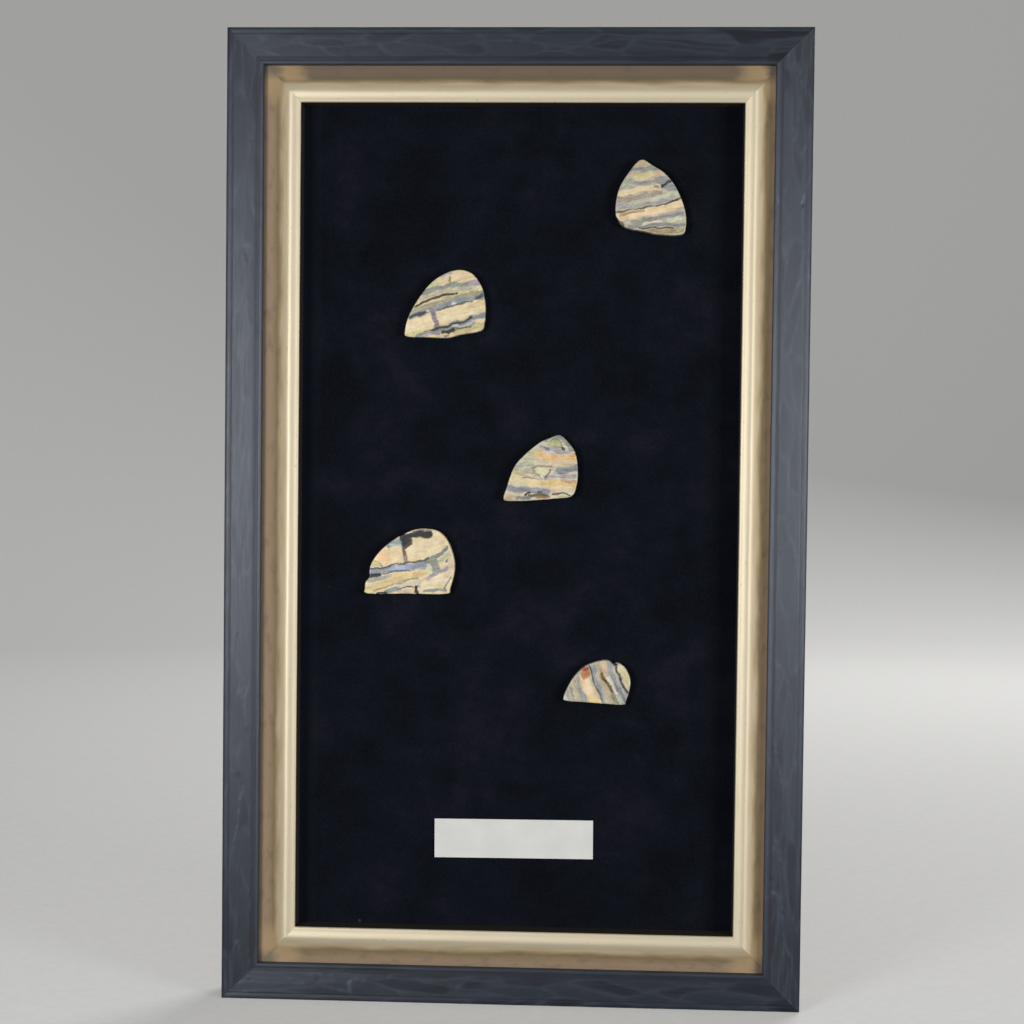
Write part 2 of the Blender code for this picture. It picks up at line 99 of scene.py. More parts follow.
# Each slice: its centre from the frame's centre, the direction of its growth bands in degrees,
# its ground colour, and its markings in the order they are laid down. A marking is a colour,
# half its width, and the line it follows from the slice's centre, all in millimetres.
SLICES = {
    "top_right": ((60.7, 147.5), 12, "#c9bfa6", [
        ("#cdba92", 1.3, [(-7.4, 15.4), (-4.1, 15.7), (0.3, 14.4)]),
        ("#a3a394", 1.1, [(-9.9, 12.2), (-5.2, 13.0), (1.9, 13.4)]),
        ("#d9cb98", 1.4, [(-8.7, 9.2), (-4.1, 9.5), (0.3, 10.2)]),
        ("#dcc2a0", 0.9, [(2.2, 11.0), (5.4, 10.6)]),
        ("#aca6a2", 1.0, [(-9.5, 6.7), (-4.0, 6.5), (0.4, 7.5), (4.2, 8.4)]),
        ("#b4bba0", 1.3, [(-12.5, 5.3), (-9.5, 7.4)]),
        ("#a9aba0", 2.2, [(4.2, 7.3), (8.1, 5.4), (12.0, 2.4)]),
        ("#4c5345", 0.5, [(4.1, 5.1), (6.2, 6.1), (8.6, 7.3)]),
        ("#e6d3a8", 1.2, [(-14.2, 1.7), (-8.9, 2.3), (-4.0, 3.7), (2.9, 4.6)]),
        ("#bfa67e", 0.6, [(1.5, 5.1), (2.9, 4.4)]),
        ("#b5a894", 1.3, [(-14.7, -1.3), (-8.1, -0.4), (-1.2, 1.1), (4.3, 2.0)]),
        ("#d0ccb0", 1.2, [(-8.6, -2.6), (-1.2, -1.6), (4.3, -0.1), (12.0, 1.7)]),
        ("#b9b4aa", 0.9, [(-15.2, -4.3), (-8.8, -3.7), (-1.1, -2.9), (4.4, -2.1), (9.8, -0.5)]),
        ("#e8d1a6", 1.8, [(-15.1, -9.0), (-6.6, -7.3), (1.7, -5.9), (9.9, -4.0), (14.5, -2.5)]),
        ("#f0d6ac", 0.7, [(-8.8, -8.1), (1.7, -6.8)]),
        ("#c8ac7c", 0.6, [(-14.0, -7.7), (-7.2, -6.7), (-2.8, -5.9)]),
        ("#6d6a55", 0.3, [(-15.8, -6.5), (-8.0, -5.7), (-2.5, -4.7), (4.4, -3.5), (9.9, -1.8),
         (13.4, 0.2)]),
        ("#4b4b3c", 0.2, [(9.3, -2.0), (11.5, -1.3), (13.5, 0.4)]),
        ("#a5a39e", 0.9, [(-3.2, -10.1), (1.7, -9.5), (7.2, -8.4), (14.1, -7.5)]),
        ("#aaa895", 1.4, [(-7.1, -11.5), (-2.4, -11.2)]),
        ("#e0d4ba", 0.8, [(-2.7, -12.0), (4.5, -11.5)]),
        ("#d8d6b4", 0.8, [(7.5, -10.6), (13.5, -9.9)]),
        ("#a29f98", 0.7, [(-9.8, -13.8), (-1.0, -13.1), (7.2, -12.4), (15.2, -12.2)]),
        ("#b9a67c", 0.9, [(-3.2, -15.6), (4.5, -15.5), (14.2, -14.8)]),
        ("#c3c48e", 0.7, [(12.2, -14.4), (15.2, -13.8)]),
        ("#6c6450", 0.3, [(-4.9, -13.9), (1.8, -14.1), (10.0, -13.8)]),
        # This mark along the lower left edge is a painted shadow.
        ("#7d6c50", 0.3, [(-16.3, -6.5), (-14.8, -10.1), (-12.0, -12.5)]),
    ]),
    "upper_left": ((-32.8, 98.6), 20, "#e3d0a2", [
        ("#e8cfa6", 1.8, [(3.1, 13.1), (8.1, 13.2)]),
        ("#d2cf9c", 1.2, [(-8.2, 7.3), (-4.1, 9.1)]),
        ("#b5b9b0", 0.5, [(-2.3, 12.3), (2.5, 14.2)]),
        ("#a8a26a", 0.6, [(2.2, 12.5), (2.2, 8.5)]),
        ("#a5a596", 1.1, [(-10.3, 5.2), (-2.3, 7.2), (3.7, 8.5), (11.2, 9.2), (15.7, 9.7)]),
        ("#b3a5a8", 0.9, [(11.5, 9.3), (15.1, 9.7)]),
        ("#c9c0a0", 1.2, [(-10.6, 2.5), (-2.2, 4.9), (3.7, 6.4), (12.7, 7.1)]),
        ("#dcd8a8", 0.8, [(12.7, 6.4), (16.9, 5.9)]),
        ("#b9b08c", 1.2, [(-15.0, -3.8), (-5.2, -0.2), (3.8, 2.2), (12.7, 4.7), (17.5, 5.0)]),
        ("#6b5a3c", 0.5, [(-13.9, -1.5), (-9.7, 0.9), (-5.2, 2.5), (-0.7, 3.6), (5.5, 4.7)]),
        ("#5a4630", 0.5, [(-13.3, -1.1), (-9.7, 1.0), (-7.6, 1.7)]),
        ("#9da3a2", 1.2, [(-16.2, -6.6), (-8.1, -3.5), (-2.2, -1.6), (3.8, 0.4), (9.8, 2.0),
         (17.2, 3.0)]),
        ("#4e5652", 0.6, [(-16.4, -6.9), (-12.3, -5.2), (-8.4, -3.8)]),
        ("#6b7280", 0.8, [(14.8, 2.4), (16.6, 4.0)]),
        ("#cdccc6", 0.6, [(-8.3, -3.5), (-6.6, -3.1)]),
        ("#d3d0ca", 0.5, [(3.8, 0.1), (4.7, 0.3)]),
        ("#6f6f62", 0.3, [(-4.0, -3.0), (3.8, -1.1), (8.3, 0.5), (12.8, 1.2)]),
        ("#ecd9b0", 2.5, [(-16.3, -11.1), (-11.1, -9.0), (-6.3, -8.2)]),
        ("#dccf94", 0.9, [(-17.9, -14.3), (-11.0, -13.1)]),
        ("#ead8ac", 2.7, [(-3.3, -6.1), (3.8, -4.6), (11.3, -2.2), (18.2, -0.6)]),
        ("#dfc896", 1.2, [(11.3, -0.6), (17.9, -0.0)]),
        ("#a09094", 1.0, [(-6.4, -2.7), (-4.8, -6.7), (-3.3, -9.7), (-4.5, -11.0)]),
        ("#8c7448", 0.3, [(-13.1, -14.0), (-8.7, -13.0), (-6.0, -12.1)]),
        ("#9a9c98", 1.2, [(-4.5, -12.4), (2.4, -9.8), (8.4, -8.1), (12.8, -6.3), (18.2, -5.1)]),
        ("#4a4a3c", 0.4, [(-6.3, -12.4), (-2.1, -10.8), (2.4, -9.7), (9.3, -7.6), (12.8, -6.0)]),
        ("#a7a39a", 0.9, [(-13.1, -14.7), (-5.0, -13.4), (3.9, -11.0), (12.9, -8.5)]),
        ("#c8c5bc", 0.5, [(3.3, -10.5), (8.7, -9.9), (12.9, -7.8)]),
        ("#cdbf8e", 1.4, [(5.4, -13.3), (11.4, -11.4), (17.9, -9.1)]),
        ("#e5cfaa", 1.0, [(16.7, -8.3), (17.9, -7.4)]),
        ("#8c7a5c", 0.4, [(3.9, -11.5), (11.7, -10.5)]),
        ("#474639", 0.8, [(-0.9, -13.0), (3.9, -12.0)]),
        ("#26261f", 0.4, [(1.6, -13.3), (2.0, -13.4)]),
        ("#b3b1a8", 0.5, [(-11.6, -15.0), (-6.2, -14.5)]),
        ("#9a9c90", 0.4, [(-0.2, -14.8), (1.9, -14.6)]),
    ]),
    "centre": ((11.9, 23.7), -3, "#d8cdb0", [
        ("#a6a898", 1.1, [(2.1, 13.4), (7.6, 14.7), (11.8, 12.0), (14.6, 9.0)]),
        ("#bfbf8e", 1.6, [(4.4, 11.1), (7.7, 10.9), (8.0, 9.2)]),
        ("#8d8e72", 0.3, [(4.1, 12.4), (6.8, 13.3), (9.3, 11.7), (9.9, 9.5)]),
        ("#5a5c4c", 0.5, [(10.0, 9.8), (11.1, 9.3)]),
        ("#b9b0ac", 0.8, [(-0.0, 9.7), (4.1, 8.9), (9.6, 8.1), (13.5, 7.9)]),
        ("#8f8690", 0.3, [(1.4, 9.8), (4.4, 9.1)]),
        ("#cfc9a0", 1.7, [(-6.6, 3.9), (-2.7, 7.2)]),
        ("#e6c283", 1.5, [(-1.1, 6.4), (2.8, 5.3), (8.3, 4.6), (16.0, 5.2)]),
        ("#ecbf85", 0.7, [(6.6, 4.5), (13.8, 4.6)]),
        ("#c98a4a", 0.4, [(15.3, 6.6), (16.1, 5.8)]),
        ("#d9cdab", 1.0, [(-5.4, 2.2), (0.1, 2.5), (8.3, 2.0), (14.6, 2.7)]),
        ("#bab8a2", 1.2, [(-11.8, -0.0), (-7.6, 1.9), (-4.1, 1.6)]),
        ("#c9bda0", 1.1, [(-10.9, -2.0), (-6.5, -1.1), (-2.6, -2.1)]),
        ("#c9bf80", 0.7, [(-12.6, -2.0), (-9.3, -1.7)]),
        ("#9b9e98", 1.5, [(8.4, -1.3), (12.5, -0.5), (16.6, 0.5)]),
        ("#bcb2ac", 0.8, [(2.3, -3.7), (7.0, -4.0), (15.3, -3.3)]),
        ("#e4d5a4", 1.7, [(-13.1, -4.7), (-8.1, -5.2), (-1.5, -6.7)]),
        ("#e3c98c", 1.5, [(1.0, -6.6), (8.4, -6.8), (16.1, -7.0)]),
        ("#cfb48a", 0.7, [(9.8, -5.7), (15.8, -5.4)]),
        ("#f0d3a2", 0.7, [(4.6, -8.7), (12.8, -8.7)]),
        ("#b8a488", 0.3, [(-8.7, -3.9), (-4.8, -4.4), (-0.4, -5.0)]),
        ("#a5957c", 0.4, [(-4.0, 0.5), (0.1, 0.9), (5.0, 1.0)]),
        ("#a89a84", 0.3, [(-3.9, 0.2), (-2.1, -2.1), (0.1, -4.1)]),
        ("#8f8474", 0.5, [(4.5, -0.6), (4.2, -2.2), (2.3, -3.8)]),
        ("#e0dbae", 1.0, [(-1.8, -1.3), (2.3, -1.0)]),
        ("#e0dbae", 0.8, [(-0.7, -2.1), (1.2, -2.0)]),
        ("#e6dcc0", 0.6, [(0.1, -3.1), (0.5, -3.3)]),
        ("#bdbcb6", 0.7, [(6.7, -2.4), (7.5, -2.4)]),
        ("#a6a3a4", 1.3, [(-15.4, -9.2), (-10.8, -9.7), (-3.9, -10.0), (3.0, -10.7)]),
        ("#c2bcc6", 0.5, [(-4.2, -9.9), (0.2, -9.7)]),
        ("#d9c8a4", 0.9, [(5.7, -10.1), (14.2, -9.9)]),
        ("#7a7454", 0.7, [(-5.3, -13.0), (-0.9, -12.4), (3.0, -12.6)]),
        ("#b08a58", 0.4, [(-2.0, -13.2), (4.4, -13.0)]),
        ("#4a4836", 0.5, [(-6.9, -12.4), (-5.3, -11.3)]),
        ("#5c5a50", 0.3, [(-1.6, -11.3), (0.4, -11.1)]),
        ("#6d6252", 0.4, [(5.5, -11.8), (9.9, -11.4), (13.4, -12.2)]),
        ("#cbb98c", 0.8, [(-16.4, -14.0), (-12.4, -13.1)]),
        ("#93948c", 0.7, [(-11.0, -13.6), (-5.3, -13.8)]),
    ]),
    "left": ((-47.9, -19.9), 12, "#ead7ac", [
        ("#efcd98", 2.7, [(-13.9, 1.6), (-10.0, 2.3)]),
        ("#e8d2a4", 1.8, [(-9.1, 4.2), (-5.4, 3.0)]),
        ("#d8cf98", 1.3, [(-17.9, -1.8), (-14.3, -0.8)]),
        ("#9fa9a4", 1.8, [(-10.1, 7.6), (-6.1, 9.0), (-3.6, 8.9)]),
        ("#c1c8c2", 0.6, [(-9.1, 7.4), (-4.5, 7.6)]),
        ("#33352f", 1.6, [(-3.0, 11.0), (1.7, 12.3), (4.8, 12.8), (8.8, 12.3)]),
        ("#33342c", 1.5, [(-2.3, 8.9), (0.1, 9.7)]),
        ("#57523f", 1.0, [(-2.0, 7.2), (0.5, 8.5)]),
        ("#7c7d76", 0.3, [(1.0, 13.3), (5.7, 14.6), (9.7, 13.9)]),
        ("#8d7058", 0.9, [(-2.8, 6.3), (-2.2, 2.7)]),
        ("#b09c98", 1.0, [(-2.1, 1.8), (-1.7, -1.0)]),
        ("#8f8558", 0.2, [(-16.4, 0.7), (-14.3, -0.5), (-12.9, -2.2)]),
        ("#9a9c90", 0.9, [(16.9, 6.4), (14.1, 3.9), (9.5, 1.0), (4.9, -0.6)]),
        ("#a6abb2", 1.2, [(-18.5, -4.8), (-12.1, -4.0), (-5.9, -3.0), (0.3, -2.3), (6.8, -1.5)]),
        ("#b7c4d6", 0.9, [(-9.0, -3.3), (-3.2, -2.6)]),
        ("#6c6f5e", 0.4, [(-18.4, -3.4), (-13.7, -3.1), (-10.6, -2.3), (-6.0, -1.1), (-0.4, -0.7),
         (4.9, 0.2), (8.9, 1.9)]),
        ("#2f3632", 0.9, [(-19.0, -6.9), (-14.0, -6.2)]),
        ("#7d8084", 0.4, [(-12.7, -5.8), (-5.9, -4.8), (0.3, -3.8)]),
        ("#b9b4a4", 0.9, [(-19.9, -9.1), (-13.7, -8.0), (-9.0, -7.0)]),
        ("#dfc78e", 1.6, [(-20.1, -12.7), (-13.6, -10.8), (-7.4, -9.0), (0.3, -6.7), (8.3, -4.4)]),
        ("#e6cc90", 0.8, [(-5.9, -7.2), (1.8, -5.3), (7.7, -3.8)]),
        ("#c0ad74", 0.4, [(-16.7, -13.6), (-10.5, -11.5), (-4.3, -9.8), (3.4, -7.7)]),
        ("#c2ba80", 0.5, [(-2.8, -8.9), (3.4, -7.6)]),
        ("#c9cba2", 0.8, [(13.9, 0.2), (18.2, 4.5)]),
        ("#a6a893", 1.9, [(10.8, 0.7), (12.0, -3.0), (11.5, -6.1)]),
        ("#d5d8b0", 0.9, [(8.9, -2.4), (9.7, -5.2)]),
        ("#7f866a", 0.5, [(16.7, 0.2), (18.6, 3.0)]),
        ("#b5aaa8", 1.0, [(4.7, -10.6), (9.0, -8.1), (14.2, -4.3), (17.0, -2.3)]),
        ("#dcc9a0", 1.2, [(18.5, 2.1), (19.5, -2.9)]),
        ("#ecdcb2", 2.2, [(6.9, -11.2), (12.7, -8.7), (17.7, -6.3)]),
        ("#e8cdb0", 0.8, [(16.1, -6.9), (18.6, -4.4)]),
        ("#9aa088", 0.4, [(15.5, -11.9), (17.4, -9.7), (18.9, -6.9)]),
        ("#dcd0bc", 0.7, [(-7.1, -11.1), (-1.2, -10.3), (3.4, -9.6)]),
        ("#a4ab9a", 1.2, [(-10.8, -14.0), (-5.2, -12.5)]),
        ("#d9c9a8", 0.8, [(-4.6, -14.0), (2.2, -13.5)]),
        ("#8a7c68", 0.3, [(-6.2, -12.6), (-2.1, -11.8), (2.8, -11.8)]),
        ("#a5a096", 0.7, [(6.6, -13.4), (11.2, -12.9), (16.5, -12.6)]),
        ("#4a3628", 0.7, [(3.1, -11.4), (3.2, -14.5)]),
        ("#4d5146", 0.5, [(-14.8, -14.6), (-11.1, -14.3)]),
    ]),
    "lower_right": ((39.0, -74.3), -65, "#c5bea8", [
        ("#d3d4bd", 1.1, [(-14.4, -7.7), (-12.2, -7.5)]),
        ("#b7afa0", 1.0, [(-14.0, -4.4), (-11.7, -8.1)]),
        ("#a8a08c", 0.6, [(-11.9, -2.4), (-10.4, -6.6)]),
        ("#cfc4a0", 0.7, [(-11.3, -0.2), (-10.1, -4.6), (-9.1, -8.6)]),
        ("#cdb0a0", 0.6, [(-10.4, -0.2), (-9.6, 0.1)]),
        ("#b0b4a4", 1.0, [(-8.8, 0.9), (-7.8, -4.1), (-6.5, -8.5)]),
        ("#aaa3a0", 0.4, [(-8.1, 0.9), (-6.1, -5.0), (-4.9, -8.7)]),
        ("#ecd4a8", 2.5, [(-6.1, 1.9), (-4.1, -3.0), (-1.6, -8.4)]),
        ("#e8d694", 1.5, [(-2.8, -8.2), (1.1, -9.0)]),
        ("#c79050", 2.0, [(-5.9, 5.6), (-5.2, 3.6)]),
        ("#a45a34", 1.0, [(-6.2, 6.2), (-4.5, 6.2)]),
        ("#a9adac", 1.0, [(-2.0, 7.4), (-0.7, 2.5), (0.8, -2.4), (3.1, -8.8)]),
        ("#c8b898", 1.1, [(0.4, 7.7), (1.7, 1.3), (4.8, -4.6), (7.3, -9.3)]),
        ("#6e645c", 0.3, [(-3.3, 7.4), (-2.1, 2.4), (-0.8, -2.2), (0.8, -4.9), (2.8, -8.3)]),
        ("#4e4640", 0.2, [(-3.3, 7.6), (-3.0, 6.4)]),
        ("#4e4640", 0.2, [(-0.0, -4.2), (0.7, -4.9)]),
        ("#ddbf94", 1.4, [(2.9, 8.4), (3.5, 4.3)]),
        ("#cbc4ac", 0.6, [(4.6, 9.2), (5.9, 4.3)]),
        ("#e3dcc6", 1.0, [(5.3, 2.1), (7.7, -2.1), (8.7, -4.8)]),
        ("#b3b6ae", 1.1, [(5.8, 9.0), (6.9, 2.6), (9.4, -2.3), (12.9, -7.9)]),
        ("#9c9ca0", 0.8, [(8.4, -1.1), (10.7, -5.0), (12.9, -8.9)]),
        ("#857747", 0.6, [(1.9, 4.5), (3.2, 1.5), (4.7, -0.4), (6.0, -2.9), (7.5, -5.5)]),
        ("#6a5c34", 0.4, [(3.2, 1.5), (4.5, -0.2)]),
        ("#a99d80", 0.9, [(7.2, -5.5), (9.0, -9.1)]),
        ("#ddd2a4", 1.7, [(10.8, 6.6), (12.8, 3.4), (14.3, -0.7)]),
        ("#d6c68e", 0.7, [(12.3, 4.2), (13.3, 0.2)]),
        ("#55505a", 0.5, [(8.8, 6.6), (10.1, 2.7), (11.2, -0.5), (12.9, -2.9), (14.2, -4.4)]),
        ("#3f4338", 0.9, [(6.8, 8.9), (8.5, 7.6)]),
        ("#c3c9ae", 0.8, [(9.5, -7.0), (10.7, -9.2)]),
    ]),
}



def front(v):
    """World y, in metres, of a depth v in millimetres."""
    return -(WALL_GAP + v) * MM


# ---------------------------------------------------------------- meshes and pieces


def make_piece(name, mesh, slot, materials, *nodes):
    """Show a finished mesh in place of CAD nodes, riding on the frame."""
    for material in materials:
        mesh.materials.append(material)
    piece = bpy.data.objects.new(name, mesh)
    bpy.context.scene.collection.objects.link(piece)
    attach(piece, "root")
    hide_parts(*nodes)
    return piece


def mesh_from(bm, name, sharp=40):
    """Turn a bmesh into a smooth mesh that keeps the edges sharper than the angle given."""
    mesh = bpy.data.meshes.new(name)
    bm.to_mesh(mesh)
    bm.free()
    mesh.polygons.foreach_set("use_smooth", [True] * len(mesh.polygons))
    mesh.set_sharp_from_angle(angle=math.radians(sharp))
    return mesh


def points_of(mesh):
    """Vertex places as an (n, 3) array."""
    flat = np.empty(len(mesh.vertices) * 3)
    mesh.vertices.foreach_get("co", flat)
    return flat.reshape(-1, 3)


def normals_of(mesh):
    """Vertex normals as an (n, 3) array."""
    flat = np.empty(len(mesh.vertices) * 3)
    mesh.vertex_normals.foreach_get("vector", flat)
    return flat.reshape(-1, 3)


def set_points(mesh, places):
    """Move the vertices to new places."""
    mesh.vertices.foreach_set("co", places.ravel())
    mesh.update()


def set_value(mesh, name, values):
    """Keep one number for each vertex, for the material to read."""
    layer = mesh.attributes.new(name, "FLOAT", "POINT")
    layer.data.foreach_set("value", np.asarray(values, float))


def set_uv(mesh, name, across, along):
    """Keep a flat pattern coordinate for each vertex, in metres."""
    corner = np.empty(len(mesh.loops), int)
    mesh.loops.foreach_get("vertex_index", corner)
    both = np.column_stack((across, along))[corner] * MM
    mesh.uv_layers.new(name=name).data.foreach_set("uv", both.ravel())


def slab(width, height, thickness, back_v, columns, rows):
    """A thin upright board about the frame's centre, its front and back cut into a grid."""
    bm = bmesh.new()
    bmesh.ops.create_grid(bm, x_segments=columns, y_segments=rows, size=0.5)
    bmesh.ops.scale(bm, vec=(width * MM, height * MM, 1), verts=bm.verts)
    bmesh.ops.rotate(bm, matrix=Matrix.Rotation(math.pi / 2, 3, "X"), verts=bm.verts)
    bmesh.ops.translate(bm, vec=(0, front(back_v), 0), verts=bm.verts)
    grown = bmesh.ops.extrude_face_region(bm, geom=bm.faces[:], use_keep_orig=True)
    raised = [item for item in grown["geom"] if isinstance(item, bmesh.types.BMVert)]
    bmesh.ops.translate(bm, vec=(0, -thickness * MM, 0), verts=raised)
    bmesh.ops.recalc_face_normals(bm, faces=bm.faces)
    return bm


# ---------------------------------------------------------------- material nodes


def linear(code):
    """Linear RGBA of an sRGB hex colour."""
    parts = [int(code[i:i + 2], 16) / 255 for i in (1, 3, 5)]
    return (*(c / 12.92 if c <= 0.04045 else ((c + 0.055) / 1.055) ** 2.4 for c in parts), 1.0)


def add(tree, kind, sockets=None, stops=None, **settings):
    """Add a shader node. Sockets take a number, a colour, a node or another node's socket."""
    made = tree.nodes.new("ShaderNode" + kind)
    for key, value in settings.items():
        setattr(made, key, value)
    if stops:
        ramp = made.color_ramp.elements
        while len(ramp) < len(stops):
            ramp.new(0.5)
        for element, (place, code) in zip(ramp, stops):
            element.position = place
            element.color = linear(code) if isinstance(code, str) else (code, code, code, 1)
    for key, value in (sockets or {}).items():
        if isinstance(value, bpy.types.Node):
            value = value.outputs[0]
        if isinstance(value, bpy.types.NodeSocket):
            tree.links.new(value, made.inputs[key])
        else:
            made.inputs[key].default_value = linear(value) if isinstance(value, str) else value
    return made


def new_material(name):
    """An empty material and its node tree."""
    material = bpy.data.materials.new(name)
    material.use_nodes = True
    material.node_tree.nodes.clear()
    return material, material.node_tree


def per_mm(*sizes):
    """Pattern scales that give details of these sizes in millimetres."""
    return tuple(1 / (size * MM) for size in sizes)


# ---------------------------------------------------------------- finishes


def charcoal_scraped_wood():
    """Open-grained wood scraped by hand and painted charcoal.

    It gives dull blue-black paint that is paler on the ridges and the crest of the sight bead,
    partly worn paint and partly painted highlight, painted shade in the groove and on the chamfer,
    and fine streaks along the grain that spread reflections across the rail.
    """
    material, tree = new_material("charcoal_scraped_wood")
    grain = add(tree, "UVMap", uv_map="grain")
    streaks = add(tree, "TexNoise", {
        "Vector": add(tree, "Mapping", {"Vector": grain, "Scale": (*per_mm(0.9, 16), 1)}),
        "Scale": 1.0, "Detail": 4.0, "Roughness": 0.6})
    scratches = add(tree, "TexNoise", {
        "Vector": add(tree, "Mapping", {"Vector": grain, "Scale": (*per_mm(1.6, 34), 1)}),
        "Scale": 1.0, "Detail": 3.0, "Roughness": 0.7})
    blotches = add(tree, "TexNoise", {
        "Vector": add(tree, "Mapping", {"Vector": grain, "Scale": (*per_mm(7, 20), 1)}),
        "Scale": 1.0, "Detail": 3.0, "Roughness": 0.55})
    facet = add(tree, "Math", {0: add(tree, "Attribute", attribute_name="facet").outputs["Fac"],
                               1: blotches}, operation="ADD")
    paint = add(tree, "ValToRGB", {"Fac": facet}, stops=((0.55, "#181b21"), (1.4, "#2d323b")))
    streaked = add(tree, "Mix", {0: 0.35, 6: paint, 7: add(
        tree, "ValToRGB", {"Fac": streaks}, stops=((0.3, "#14171b"), (0.72, "#282d35")))},
        data_type="RGBA")
    # Paler paint on the ridges and the bead's crest: partly worn paint, partly painted highlight.
    worn_and_highlit = add(tree, "Math", {0: add(tree, "Attribute", attribute_name="ridge").outputs["Fac"],
                                1: add(tree, "MapRange", {"Value": scratches, 1: 0.35, 2: 0.7,
                                                          3: 0.1, 4: 0.4})},
                 operation="MULTIPLY")
    worn = add(tree, "Mix", {0: worn_and_highlit, 6: streaked.outputs[2], 7: "#4c535e"}, data_type="RGBA")
    # Darker paint in the groove and on the chamfer: painted shade.
    painted_recess_shade = add(tree, "Attribute", attribute_name="painted_recess_shade").outputs["Fac"]
    sunk = add(tree, "Mix", {0: painted_recess_shade, 6: worn.outputs[2], 7: "#1c1c22"}, data_type="RGBA")
    relief = add(tree, "Math", {0: streaks, 1: scratches}, operation="ADD")
    satin = add(tree, "MapRange", {"Value": streaks, 1: 0.3, 2: 0.7, 3: 0.44, 4: 0.54})
    shader = add(tree, "BsdfPrincipled", {
        "Base Color": sunk.outputs[2],
        "Roughness": add(tree, "Math", {0: painted_recess_shade, 1: 0.14, 2: satin}, operation="MULTIPLY_ADD"),
        "Specular IOR Level": 0.92, "Specular Tint": "#e2e8f5",
        "Anisotropic": 0.75,
        "Tangent": add(tree, "Tangent", direction_type="UV_MAP", uv_map="grain"),
        "Normal": add(tree, "Bump", {"Height": relief, "Strength": 0.6, "Distance": 0.02 * MM})})
    add(tree, "OutputMaterial", {"Surface": shader})
    return material


